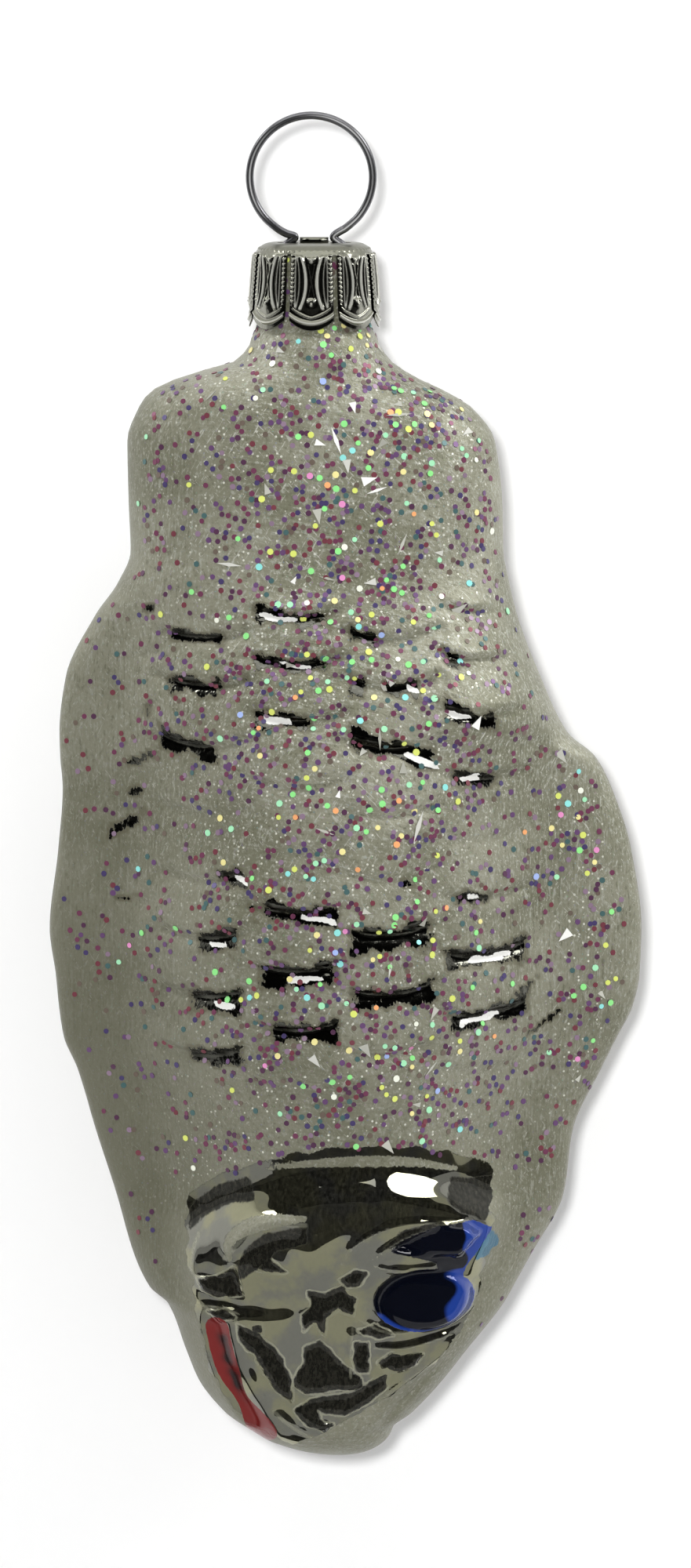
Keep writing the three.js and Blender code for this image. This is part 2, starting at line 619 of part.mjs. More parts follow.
const ornament = new THREE.Group();
ornament.add(
  piece("glass_fish", geometryFrom(glassFish()), { color: 0x8b8a7c, roughness: 0.35, metalness: 0.6 }),
  piece("neck_cap", geometryFrom(stampedCap()), { color: 0x8a8c82, roughness: 0.22, metalness: 1 }),
  piece("wire_hanger", wireHanger(), { color: 0x5c5e60, roughness: 0.3, metalness: 1 }),
);

export default ornament;
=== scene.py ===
"""A blown-glass fish ornament that hangs head down from a stamped cap and a wire loop.

The frame is in metres. Sizes below are in millimetres, in the frame of the model: the origin is inside the
crown of the wire loop, +Z is up and -Y is the front.
"""

import math

import bmesh
import bpy
import numpy as np
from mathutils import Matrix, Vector


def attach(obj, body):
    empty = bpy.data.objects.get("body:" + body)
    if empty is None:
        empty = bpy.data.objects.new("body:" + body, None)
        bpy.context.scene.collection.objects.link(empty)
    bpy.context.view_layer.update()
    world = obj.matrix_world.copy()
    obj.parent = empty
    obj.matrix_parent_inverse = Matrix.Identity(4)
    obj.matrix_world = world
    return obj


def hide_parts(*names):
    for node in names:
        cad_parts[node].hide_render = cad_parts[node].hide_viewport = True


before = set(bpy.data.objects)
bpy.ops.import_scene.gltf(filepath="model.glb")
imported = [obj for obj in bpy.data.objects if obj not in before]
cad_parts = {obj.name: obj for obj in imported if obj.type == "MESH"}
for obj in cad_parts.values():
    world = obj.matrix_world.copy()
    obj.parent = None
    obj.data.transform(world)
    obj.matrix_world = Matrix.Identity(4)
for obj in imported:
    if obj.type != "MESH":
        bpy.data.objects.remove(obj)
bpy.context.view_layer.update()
MM = 0.001

# Places along the neck's axis.
CAP_TOP = -11.0
CAP_HEIGHT = 7.4
CAP_HEM = CAP_TOP - CAP_HEIGHT
SHEET = 0.3
SEAT_GAP = 0.3
RIM_Z = CAP_TOP - SHEET - SEAT_GAP
COLLAR_Z = CAP_HEM - 1.6
NECK_R = 4.7
NECK_WALL = 0.8
RIM_ROUND = 0.45
COLLAR_R = 5.7
FLARE_LENGTH = 2.4

# The fish.
BODY_LENGTH = 99.3
BODY_WIDTH = 52.5
BODY_DEPTH = 28.0
NOSE_Z = COLLAR_Z - BODY_LENGTH
NOSE_ROUND = 3.5
GLASS_WALL = 1.0
FIN_ROOT_HALF = 4.2
FIN_BLEND = 4.5
BODY_POWER = 2.6
HEAD_LENGTH = 26.0

# How finely the glass is divided. The rings lie closer from where the scales begin, in mm below the collar.
AROUND = 300
RIM_RINGS = 7
NECK_RINGS = 13
PLAIN_RINGS = 24
SCALES_BEGIN = 18.5
SCALE_RINGS = 136
HEAD_RINGS = 95
NOSE_RINGS = 22
INNER_RINGS = 20

# Outline from the neck to the nose: the share of the length, then the left and right edges as shares of the
# width.
OUTLINE = [
    (0.014, 0.131, 0.128), (0.028, 0.221, 0.167), (0.042, 0.276, 0.223), (0.056, 0.295, 0.265),
    (0.085, 0.314, 0.303), (0.141, 0.312, 0.316), (0.183, 0.309, 0.318), (0.212, 0.331, 0.328),
    (0.24, 0.368, 0.341), (0.296, 0.419, 0.381), (0.346, 0.43, 0.427), (0.367, 0.429, 0.473),
    (0.395, 0.425, 0.501), (0.451, 0.433, 0.535), (0.522, 0.448, 0.553), (0.564, 0.438, 0.55),
    (0.592, 0.433, 0.539), (0.62, 0.425, 0.513), (0.649, 0.402, 0.486), (0.705, 0.371, 0.438),
    (0.762, 0.337, 0.423), (0.818, 0.307, 0.368), (0.846, 0.282, 0.339), (0.86, 0.251, 0.324),
    (0.903, 0.22, 0.26), (0.931, 0.198, 0.219), (0.959, 0.156, 0.17), (0.973, 0.122, 0.139),
    (0.987, 0.1, 0.148), (1.0, 0.076, 0.16),
]
# Half the thickness as a share of the depth, and the width of the fins as a share of the width.
THICKNESS = [
    (0.028, 0.225), (0.056, 0.257), (0.113, 0.286), (0.183, 0.307), (0.24, 0.357), (0.31, 0.429),
    (0.395, 0.482), (0.5, 0.5), (0.607, 0.486), (0.691, 0.457), (0.748, 0.436), (0.818, 0.407),
    (0.889, 0.343), (0.945, 0.279), (1.0, 0.2),
]
LEFT_FIN = [
    (0.19, 0), (0.26, 0.067), (0.35, 0.095), (0.52, 0.114), (0.7, 0.095), (0.79, 0.061),
    (0.846, 0.038), (0.862, 0),
]
RIGHT_FIN = [
    (0.31, 0), (0.37, 0.067), (0.45, 0.124), (0.52, 0.143), (0.62, 0.124), (0.7, 0.086), (0.79, 0.057),
    (0.86, 0.038), (0.9, 0),
]

# Scales: columns of lobes whose rounded free edges hang towards the head.
SCALE_COLUMN = 8.3
SCALE_ROW = 5.2
SCALE_SAG = 1.0
SCALE_DEPTH = 0.95
SCALE_STEP = 0.75
SCALE_FIRST_X = -9.8
SCALE_STAGGER = 0.46
# Where the free edges of one column's scales hang, down from the loop, with 1 row between them.
ROW_EDGES = [40.35, 44.6, 48.6, 53.8, 59.7, 65.4, 70.45, 75.7, 80.95, 86.1, 91.4]
LEVEL_X = -1.5

# Places on the fish that the lacquer missed, under a scale's edge: x, z, half width, drop, slope, and where
# along them a painted highlight lies, from -1 to 1, or None.
MISSED_LACQUER = [
    (-2.4, -42.9, 3.6, 0.9, -0.1, -0.2),
    (-10.2, -45.1, 2.4, 0.7, 0.0, None),
    (4.1, -44.5, 1.4, 0.7, -0.1, None),
    (-2.5, -47.1, 3.5, 0.7, 0.0, 0.2),
    (11.6, -46.9, 1.1, 0.6, -0.4, None),
    (-10.4, -49.2, 2.3, 0.9, 0.0, None),
    (3.4, -49.0, 1.1, 0.7, 0.1, None),
    (7.6, -49.2, 1.6, 0.7, -0.15, 0.7),
    (-3.1, -51.6, 2.7, 0.7, 0.0, 0.0),
    (13.5, -51.7, 2.4, 0.8, -0.3, -0.4),
    (-11.6, -54.0, 3.0, 0.8, -0.2, None),
    (6.9, -55.1, 4.2, 0.9, -0.3, 0.7),
    (14.0, -57.1, 1.9, 0.6, -0.05, -0.2),
    (-6.8, -66.6, 1.8, 0.5, -0.4, 0.4),
    (-0.9, -69.4, 3.4, 1.0, -0.2, 0.4),
    (6.4, -70.5, 4.1, 1.5, 0.05, None),
    (-8.5, -71.4, 1.7, 1.3, 0.1, 0.0),
    (13.9, -68.2, 1.5, 0.45, 0.05, 0.0),
    (15.0, -72.5, 4.0, 1.0, 0.0, 0.1),
    (-1.4, -74.3, 3.3, 1.4, 0.1, 0.2),
    (-8.5, -76.7, 2.3, 1.4, -0.1, 0.3),
    (7.2, -76.0, 4.0, 1.0, 0.0, None),
    (15.6, -77.5, 3.8, 0.9, 0.1, -0.3),
    (-0.5, -79.1, 3.1, 1.1, -0.05, None),
    (-8.5, -81.6, 2.5, 0.9, 0.0, None),
]
# Small bare smudges: x, z, half length, half height, rise to the right.
SMUDGES = [
    (-16.8, -62.2, 2.2, 0.75, 0.67),
    (-15.6, -59.2, 0.9, 0.7, 0.2),
    (-15.4, -56.3, 1.7, 0.6, 0.67),
    (20.2, -79.8, 1.9, 0.4, 0.67),
    (18.6, -76.3, 1.3, 0.35, 0.6),
    (8.2, -66.2, 0.8, 0.4, 0.0),
    (-16.4, -68.6, 1.4, 0.25, 0.15),
    (-14.5, -42.8, 0.7, 0.5, 0.3),
]


def smoothstep(a, b, x):
    """0 where x is at a, 1 at b and beyond, smooth between."""
    q = np.clip((x - a) / (b - a), 0, 1)
    return q * q * (3 - 2 * q)


def hump(x):
    """A rounded bump of height 1 at 0."""
    return np.exp(-(x**2))


def curve_through(knots):
    """A smooth curve through (at, value) knots that never overshoots them."""
    at = np.array([k[0] for k in knots], float)
    value = np.array([k[1] for k in knots], float)
    slope = np.diff(value) / np.diff(at)
    tangent = np.concatenate([[slope[0]], np.zeros(len(knots) - 2), [slope[-1]]])
    a, b = slope[:-1], slope[1:]
    same = a * b > 0
    tangent[1:-1][same] = 2 * a[same] * b[same] / (a[same] + b[same])

    def curve(x):
        x = np.clip(x, at[0], at[-1])
        i = np.clip(np.searchsorted(at, x, side="right") - 1, 0, len(at) - 2)
        h = at[i + 1] - at[i]
        q = (x - at[i]) / h
        cubic = 2 * q**3 - 3 * q**2
        pull = tangent[i] * (q - 1) ** 2 * q + tangent[i + 1] * (q - 1) * q**2
        return value[i] * (cubic + 1) - value[i + 1] * cubic + h * pull

    return curve


left_edge = curve_through([(0, COLLAR_R)] + [(at, left * BODY_WIDTH) for at, left, _ in OUTLINE])
right_edge = curve_through([(0, COLLAR_R)] + [(at, right * BODY_WIDTH) for at, _, right in OUTLINE])
half_depth = curve_through([(0, COLLAR_R)] + [(at, half * BODY_DEPTH) for at, half in THICKNESS])
left_fin = curve_through([(at, wide * BODY_WIDTH) for at, wide in LEFT_FIN])
right_fin = curve_through([(at, wide * BODY_WIDTH) for at, wide in RIGHT_FIN])


def stroke_distance(x, z, points):
    """How far (x, z) lies from a line through points, and how far along it, from 0 to 1."""
    best = np.full(np.shape(x), 1e9)
    along = np.zeros(np.shape(x))
    lengths = [math.dist(a, b) for a, b in zip(points, points[1:])]
    total, start = sum(lengths), 0.0
    for (ax, az), (bx, bz), length in zip(points, points[1:], lengths):
        q = np.clip(((x - ax) * (bx - ax) + (z - az) * (bz - az)) / length**2, 0, 1)
        d = np.hypot(x - ax - q * (bx - ax), z - az - q * (bz - az))
        nearer = d < best
        best = np.where(nearer, d, best)
        along = np.where(nearer, (start + q * length) / total, along)
        start += length
    return best, along


def patch_distance(x, z, points):
    """How far (x, z) lies outside a closed patch; negative inside it."""
    d, _ = stroke_distance(x, z, points + points[:1])
    inside = np.zeros(np.shape(x), bool)
    for (ax, az), (bx, bz) in zip(points, points[1:] + points[:1]):
        crosses = (az > z) != (bz > z)
        reach = ax + (z - az) * (bx - ax) / (bz - az if bz != az else 1.0)
        inside ^= crosses & (x < reach)
    return np.where(inside, -d, d)


def between(a, b, share):
    """The point a share of the way from a to b."""
    return (1 - share) * a[0] + share * b[0], (1 - share) * a[1] + share * b[1]


def rounded(points, times=2):
    """A line through points with its corners cut into curves."""
    for _ in range(times):
        cut = [points[0]]
        for a, b in zip(points, points[1:]):
            cut += [between(a, b, 0.25), between(a, b, 0.75)]
        points = cut + [points[-1]]
    return points


def unevenness(x, z, size, seed):
    """Gentle waves in all directions, about size millimetres long and 1 high."""
    random = np.random.default_rng(seed)
    total = 0 * x
    for _ in range(12):
        a, phase, stretch = random.uniform(0, math.tau), random.uniform(0, math.tau), random.uniform(0.6, 1.5)
        total = total + np.sin(math.tau / size * stretch * (x * math.cos(a) + z * math.sin(a)) + phase)
    return total / math.sqrt(24)


# Relief of the head. Places are in millimetres: x from the neck's axis, z down from the loop.
GILL_X, GILL_Z, GILL_R = 4.3, -114.0, 24.0
GILL_HEIGHT = 1.55
GILL_RISE = (0.9, 4.3)
GILL_FALL = (15.0, 5.5)
EYE_X, EYE_Z, EYE_HALF_X, EYE_HALF_Z = 9.7, -103.7, 4.25, 2.75
EYE_STANDS_OUT = 0.75
MOUTH_DEPTH, MOUTH_HALF = 0.45, 0.8
LIP_HEIGHT, LIP_HALF, LIP_OFF = 0.3, 0.6, 1.5

# Folds of the mould on the head: points, width, height. A negative height is a crease.
HEAD_FOLDS = [
    ([(-0.8, -96.3), (-3.6, -96.1), (-6, -97.3), (-7.9, -99.9)], 0.75, 0.7),
    ([(-1.4, -97.4), (-3.6, -97.9), (-5.6, -98.9), (-7.4, -100.3)], 0.3, -0.25),
    ([(2.4, -99.9), (3.4, -98.1), (6.3, -96.5), (9.8, -96.2), (14, -97.4)], 0.32, 0.32),
    ([(5.1, -99.6), (6.9, -98.1), (9.5, -97.1), (11.8, -97)], 0.3, 0.25),
    ([(5.2, -100.1), (7.5, -101), (11.4, -100.7)], 0.3, 0.3),
    ([(6.4, -99.9), (8.6, -100.1), (11.4, -99.9)], 0.25, -0.2),
    ([(-10.2, -98.1), (-11, -100.1), (-10.9, -102.9)], 0.6, 0.15),
    ([(-10.6, -104.5), (-8.2, -104.4), (-6.6, -104.9)], 0.35, 0.25),
    ([(3.4, -105.9), (3.2, -108.53), (3.2, -110.7)], 0.4, 0.3),
    ([(4, -105.3), (6.4, -106.7), (10.2, -106.5), (13.4, -104.9)], 0.4, 0.3),
    ([(5.2, -107.9), (8, -108.21), (12.6, -107.1)], 0.35, 0.25),
    ([(5.6, -113.12), (8.4, -111.14), (12.4, -108.32)], 0.4, 0.25),
    ([(5.2, -116.9), (6, -115.6), (7.9, -113.12), (11.4, -109.71)], 0.4, -0.3),
    ([(-3.6, -113.97), (-2.2, -115.4), (0.2, -116.9)], 0.6, 0.3),
    ([(16.2, -97.1), (17, -100.1), (15.8, -104.1), (12.6, -108.95)], 0.5, 0.35),
]
# Flat places on the head: how far they stand out, how soft their borders are, and their corners.
HEAD_FLATS = [
    (0.1, 0.25, [
        (-10.3, -101.9), (-8.5, -101.6), (-7.1, -100.6), (-6.3, -103.2), (-8.5, -103.5), (-10, -102.9),
    ]),
    (0.05, 0.2, [(-9.4, -104.9), (-7.95, -104.6), (-7, -105.2), (-8.3, -105.6)]),
    (0.0, 0.15, [(-5.5, -105.9), (-4.7, -105.8), (-4.6, -106.5), (-5.4, -106.6)]),
    (0.15, 0.25, [
        (-6.8, -105.8), (-5, -106.6), (-3.2, -108.33), (-2.2, -110.47), (-1.9, -112.95),
        (-3.3, -112.09), (-4.1, -110.79), (-5.3, -108.64), (-6.6, -107.4),
    ]),
    (0.0, 0.2, [(-5.1, -100.7), (-4.1, -99.4), (-2.4, -100.7)]),
    (0.1, 0.2, [
        (-0.5, -102.5), (0.9, -102.8), (2.4, -102.1), (3.6, -103.2), (3.4, -104.8), (2.1, -104.1),
        (1, -105), (0.9, -106.7), (0.1, -105.3), (-1, -106.3), (-1.1, -104.7), (-0.2, -104.1),
    ]),
    (0.1, 0.2, [(2.3, -101.4), (3.6, -100.4), (4.7, -100.8), (3.9, -102), (2.8, -102.1)]),
    (0.1, 0.25, [
        (-1.7, -110.68), (-0.9, -109.28), (-0.9, -107.91), (0.5, -107.2), (2.1, -108.96), (4, -110.68),
        (4.4, -111.77), (2.1, -111.77), (-0.8, -112.2), (-1.7, -111.55),
    ]),
    (0.0, 0.2, [(3.6, -107.4), (4.75, -107.4), (4.8, -110.25), (3.8, -110.25), (3.4, -108.64)]),
    (0.1, 0.2, [
        (5.6, -109.28), (6.9, -108.54), (9.6, -108.85), (8.9, -109.71), (7.5, -110.25), (6, -109.82),
    ]),
    (0.0, 0.2, [(3.8, -106.2), (5.4, -105.8), (7, -106.8), (5.4, -107)]),
    (0.1, 0.2, [
        (-1.8, -113.89), (-0.25, -112.84), (1.5, -112.41), (3, -112.31), (4.5, -111.44),
        (6.4, -110.57), (6.4, -111.77), (4.5, -113.37), (2.7, -114.3), (0.9, -114.09), (0.3, -113.79),
        (0.6, -115), (1.6, -115.3), (0.9, -115.8), (-0.6, -115.3),
    ]),
    (0.3, 0.3, [
        (7, -98.6), (8.7, -97.6), (11, -96.9), (13.4, -96.8), (14.4, -97.8), (12.8, -99.6), (9, -99.2),
    ]),
]
LENS_PAINT = [
    (6.8, -98.8), (8.7, -97.5), (11, -96.8), (14, -96.7), (15.6, -97.6), (14.4, -99.4), (13.3, -100.8),
    (13.0, -102.0), (11.2, -101.7), (10.8, -100.2), (9, -99.5),
]
# Stripes of lacquer colour along the gill cover and over the brow: a painted pale reflection along these
# ridges.
GILL_STRIPE = [(-4.0, -91.6), (-0.8, -90.95), (3.9, -90.65), (8.6, -91.0), (12.4, -92.1)]
BROW_STRIPE = [(-7.4, -99.9), (-7.8, -98.3), (-5.8, -96.7), (-3.2, -95.9), (-0.9, -95.7)]
# Dark reflections painted onto the head's mirror: the ends of the gill cover, under the brow and over the
# eye.
HEAD_SHADES = [
    [
        (-11.2, -98.1), (-11.1, -96.2), (-9.8, -94.7), (-7.6, -93.2), (-5.6, -92.5), (-5.3, -94.5),
        (-7.4, -95.2), (-9.6, -96.5),
    ],
    [
        (-6.6, -101.7), (-6.9, -100.4), (-5.7, -98.4), (-4.2, -97.2), (-0.6, -96.1), (-0.6, -98.0),
        (-3.2, -98.8), (-5.0, -100.6),
    ],
    [(6.1, -98.4), (7.6, -97.0), (9.8, -96.4), (12.4, -96.4), (9.4, -97.2), (7.4, -98.5)],
    [
        (12.0, -92.7), (13.6, -93.1), (15.9, -93.2), (15.9, -95.4), (15.0, -96.8), (12.5, -95.6),
        (11.7, -94.5),
    ],
]
# Borders of the bare mirror: x on the right and on the left, at distances down from the loop.
BARE_DOWN = [90.0, 94.0, 97.0, 100.0, 103.5, 106.0, 108.0, 110.0, 112.5, 115.0, 117.5]
BARE_RIGHT = [15.8, 15.8, 15.8, 15.0, 14.5, 13.6, 12.2, 10.4, 6.8, 2.6, -2.0]
BARE_LEFT = [-11.6, -11.4, -11.4, -11.3, -10.6, -10.3, -9.8, -9.3, -8.3, -6.4, -2.0]
# The glitter starts again outside the face, at FACE_LEFT_X and at these x on the right.
FACE_DOWN = [90.0, 97.5, 103.1, 107.3, 111.0, 116.0]
FACE_RIGHT = [18.9, 18.4, 17.2, 14.6, 12.4, 8.8]
FACE_LEFT_X = -14.3
LOW_FACE_Z = -106
MOUTH = [
    (-8.6, -106.4), (-8.2, -108.6), (-7.6, -110.6), (-6.6, -112.8), (-5.6, -114.4), (-4.6, -116.2),
]


def head_relief(x, z):
    gill = GILL_R - np.hypot(x - GILL_X, z - GILL_Z)
    relief = GILL_HEIGHT * smoothstep(*GILL_RISE, gill) * smoothstep(*GILL_FALL, gill)
    relief = smoothstep(LOW_FACE_Z, LOW_FACE_Z + 6, z) * relief
    for points, width, height in HEAD_FOLDS:
        d, along = stroke_distance(x, z, rounded(points))
        relief += height * hump(d / width) * smoothstep(0, 0.15, along) * smoothstep(1, 0.85, along)
    d, along = stroke_distance(x, z, rounded(MOUTH))
    relief += -MOUTH_DEPTH * hump(d / MOUTH_HALF) + LIP_HEIGHT * hump((d - LIP_OFF) / LIP_HALF)
    relief += 0.05 * unevenness(x, z, 3.4, 4) * smoothstep(-92, -96, z)
    return relief


def flattened(x, z, share, depth):
    """Sets the flat places of the head, and the eye's raised disc, into the surface."""
    for stands_out, soft, points in HEAD_FLATS:
        cx, cz = np.mean(points, axis=0)
        level = half_thickness(np.array(cx), np.array((COLLAR_Z - cz) / BODY_LENGTH)) + stands_out
        level = level + float(head_relief(np.array(cx), np.array(cz)))
        d = patch_distance(x, z, points) + 0.12 * unevenness(x, z, 1.1, 9)
        depth = depth + (level + 0.06 * (z - cz) - depth) * smoothstep(soft, -soft, d) * 0.92
    out = np.hypot((x - EYE_X) / EYE_HALF_X, (z - EYE_Z) / EYE_HALF_Z)
    level = half_thickness(np.array(EYE_X), np.array((COLLAR_Z - EYE_Z) / BODY_LENGTH)) + EYE_STANDS_OUT
    disc = level - 0.9 * smoothstep(0.1, 1.1, (x - EYE_X) / EYE_HALF_X) - 0.4 * out**6
    return depth + (disc - depth) * smoothstep(1.12, 0.86, out) - 0.1 * hump((out - 1.17) / 0.08)


def scale_sag(x):
    across = (x - SCALE_FIRST_X) / SCALE_COLUMN
    return SCALE_SAG * (1 - (2 * (across - np.round(across))) ** 2)


def below_edge(column, x, z):
    """How far (x, z) is below the free edge of a scale of this column, in rows from 0 to 1."""
    tilt = 0.01 + 0.035 * smoothstep(-55, -66, z)
    down = tilt * (x - LEVEL_X) - z + SCALE_SAG - scale_sag(x)
    rows = np.interp(down, ROW_EDGES, np.arange(len(ROW_EDGES)))
    return np.mod(rows + np.where(np.mod(column, 2) > 0.5, SCALE_STAGGER, 0), 1)


def scale_height(below):
    """Height of the scales from the groove, 0, to a free edge, 1."""
    step = SCALE_STEP / SCALE_ROW
    falling = 1 - smoothstep(0, 1, below / step)
    rise = np.clip((below - step) / (1 - step), 0, 1)
    rising = 0.62 * (1 - np.exp(-rise / 0.14)) + 0.38 * rise
    return np.where(below < step, falling, rising)


def scale_relief(x, z):
    columns = (x - SCALE_FIRST_X) / SCALE_COLUMN
    near = np.round(columns)
    off = columns - near
    side = near + np.where(off < 0, -1, 1)
    mix = 0.5 * smoothstep(0.38, 0.5, np.abs(off))
    height = (1 - mix) * scale_height(below_edge(near, x, z)) + mix * scale_height(below_edge(side, x, z))
    shown = smoothstep(-40.5, -43, z) * (0.3 + 0.7 * smoothstep(-84.5, -81.5, z))
    shown = shown * smoothstep(-88.6, -84.5, z)
    faint_band = 1 - 0.62 * hump((z + 62.3) / 3.6)
    return (height - 0.5) * SCALE_DEPTH * shown * faint_band * (1 + 0.25 * unevenness(x, z, 9.0, 2))


def missed_lacquer(x, z):
    """Where the mirror shows in the grooves under the scales, and where a painted highlight lies, both from 0
    to 1.
    """
    columns = (x - SCALE_FIRST_X) / SCALE_COLUMN
    near = np.round(columns)
    inside = smoothstep(0.5, 0.4, np.abs(columns - near) + 0.04 * unevenness(x, z, 1.5, 12))
    below = below_edge(near, x, z) * SCALE_ROW
    below = np.where(below > 0.6 * SCALE_ROW, below - SCALE_ROW, below)
    wander = 0.3 * unevenness(x, z, 2.6, 6) + 0.22 * unevenness(x, z, 1.2, 16)
    bare, highlight_paint = np.zeros(np.shape(x)), np.zeros(np.shape(x))
    for cx, cz, half, drop, slope, highlight_at in MISSED_LACQUER:
        out = np.abs(x - cx) / half + 0.12 * unevenness(x, z, 1.3, 35)
        here = smoothstep(2.6, 2.1, np.abs(z - cz - slope * (x - cx))) * smoothstep(1.25, 0.7, out)
        from_top = below + slope * (x - cx)
        spread = SCALE_SAG * (2 * (columns - near)) ** 2 + 0.35 * out**2
        band = smoothstep(-0.3, 0.3, from_top + wander)
        band = band * smoothstep(drop + 0.8, drop, from_top - wander - spread)
        bare = np.maximum(bare, here * band * inside)
        if highlight_at is not None:
            at = np.abs((x - cx) / half - highlight_at)
            low = from_top - drop - 0.8 * spread + 0.1 + 0.3 * at**2 + 0.08 * unevenness(x, z, 2.2, 37)
            glow = here * smoothstep(0.55, 0.4, at) * smoothstep(0.42, 0.1, np.abs(low))
            highlight_paint = np.maximum(highlight_paint, glow)
    for cx, cz, half_x, half_z, climb in SMUDGES:
        out = np.hypot((x - cx) / half_x, (z - cz - climb * (x - cx)) / half_z)
        out = out + 0.3 * unevenness(x, z, 1.3, 5)
        bare = np.maximum(bare, 0.8 * smoothstep(1.1, 0.5, out))
    return bare, highlight_paint


def place_across(x, share):
    """The fin's width on x's side of the keel, and x's way out to the edge and to the end of the bulge."""
    left, right, fin_l, fin_r = left_edge(share), right_edge(share), left_fin(share), right_fin(share)
    keel = (right - fin_r - left + fin_l) / 2
    edge = np.where(x < keel, left + keel, right - keel)
    fin = np.where(x < keel, fin_l, fin_r)
    off = np.abs(x - keel)
    return fin, np.minimum(1, off / edge), np.minimum(1, off / (edge - fin))


def half_thickness(x, share):
    fin, out, bulge_out = place_across(x, share)
    full = half_depth(share)
    base = full + (np.minimum(full, FIN_ROOT_HALF) - full) * smoothstep(0, FIN_BLEND, fin)
    power = 2 + (BODY_POWER - 2) * smoothstep(0, 0.2, share)
    return base * np.sqrt(1 - out**power) + (full - base) * (1 - bulge_out**2) ** 1.5


def neck_radius(z):
    return NECK_R + (COLLAR_R - NECK_R) * smoothstep(COLLAR_Z + FLARE_LENGTH, COLLAR_Z, z)


def rim_rounding(z):
    """How far the neck's melted rim draws in at height z."""
    up = np.clip(z - RIM_Z + RIM_ROUND, 0, RIM_ROUND)
    return RIM_ROUND - np.sqrt(RIM_ROUND**2 - up**2)


def fish_surface(turn, drop, inset=0.0):
    """Points of the glass at turns round the section and drops below the collar, moved in by the wall."""
    front = np.sin(turn)
    z = COLLAR_Z - drop
    share = np.clip(drop / BODY_LENGTH, 0, 1)
    to_nose = np.clip(z - NOSE_Z - inset, 0, NOSE_ROUND)
    closing = np.sqrt(np.clip(1 - (1 - to_nose / NOSE_ROUND) ** 2, 0, 1))
    left, right = left_edge(share) - inset * 1.3, right_edge(share) - inset * 1.3
    even = 1 - 2 * np.arccos(np.clip(np.cos(turn), -1, 1)) / math.pi
    blend = smoothstep(0, 0.06, share)
    across = (1 - blend) * np.cos(turn) + blend * (0.6 * even + 0.4 * np.cos(turn))
    middle = (right - left) / 2
    x = middle + (right + left) / 2 * closing * across
    flat_x = middle + (x - middle) / np.maximum(closing, 1e-3)
    depth = half_thickness(np.clip(flat_x, -left, right), share) * closing
    if inset:
        depth = np.maximum(depth - inset * 1.3, 0.05) * np.minimum(1, 3 * np.abs(front))
    else:
        on_body = smoothstep(1, 0.8, place_across(x, share)[2])
        plain = depth
        depth = depth + (scale_relief(x, z) + head_relief(x, z)) * on_body
        depth = flattened(x, z, share, depth)
        depth = plain + (depth - plain) * on_body * closing + 0.04 * unevenness(x, z, 5.0, 8) * on_body
    r = neck_radius(z) - (NECK_WALL if inset else rim_rounding(z))
    on_neck = drop <= 0
    x = np.where(on_neck, r * np.cos(turn), x)
    y = np.where(on_neck, -r * front, -depth * np.sign(front))
    return np.stack([x, y, z + 0 * x], -1)


def placed(name, data):
    """A new object in the scene."""
    obj = bpy.data.objects.new(name, data)
    bpy.context.scene.collection.objects.link(obj)
    return obj


def mesh_object(name, points, faces, smooth=True):
    """A mesh from points in millimetres."""
    mesh = bpy.data.meshes.new(name)
    mesh.from_pydata((np.asarray(points) * MM).tolist(), [], faces)
    mesh.validate()
    mesh.update()
    if smooth:
        mesh.polygons.foreach_set("use_smooth", [True] * len(mesh.polygons))
    return placed(name, mesh)


def skin(rings, around):
    """Faces between rings of points listed from the top down, with one point before them and one after."""
    faces = []
    last = 1 + (rings - 1) * around
    for i in range(around):
        nxt = (i + 1) % around
        faces.append((0, 1 + i, 1 + nxt))
        for a in range(1, last, around):
            faces.append((a + i, a + around + i, a + around + nxt, a + nxt))
        faces.append((last + i, last + around, last + nxt))
    return faces


def set_values(obj, values_by_name):
    """Stores values at the object's points, for its material and its glitter to read."""
    for name, values in values_by_name.items():
        attribute = obj.data.attributes.new(name, "FLOAT", "POINT")
        attribute.data.foreach_set("value", np.asarray(values, np.float32))


def ring_drops():
    """Drops of the rings below the collar: outside from rim to nose, inside from nose to rim."""
    rim = COLLAR_Z - RIM_Z + RIM_ROUND * (1 - np.sin(np.linspace(math.pi / 2, 0, RIM_RINGS)))
    neck = np.concatenate([rim, np.linspace(rim[-1], 0, NECK_RINGS, endpoint=False)[1:]])
    head_drop = BODY_LENGTH - HEAD_LENGTH
    plain = np.linspace(0, SCALES_BEGIN, PLAIN_RINGS, endpoint=False)
    scales = np.linspace(SCALES_BEGIN, head_drop, SCALE_RINGS, endpoint=False)
    head = np.linspace(head_drop, BODY_LENGTH - NOSE_ROUND, HEAD_RINGS, endpoint=False)
    nose_turn = np.linspace(0, math.pi / 2, NOSE_RINGS, endpoint=False)
    nose = BODY_LENGTH - NOSE_ROUND * (1 - np.sin(nose_turn))
    ease = (1 - np.cos(np.linspace(0, math.pi, INNER_RINGS))) / 2
    inside = np.concatenate([[neck[0], neck[0] * 0.3, 0], (BODY_LENGTH - GLASS_WALL) * ease[1:-1]])
    return np.concatenate([neck, plain, scales, head, nose]), inside[::-1]


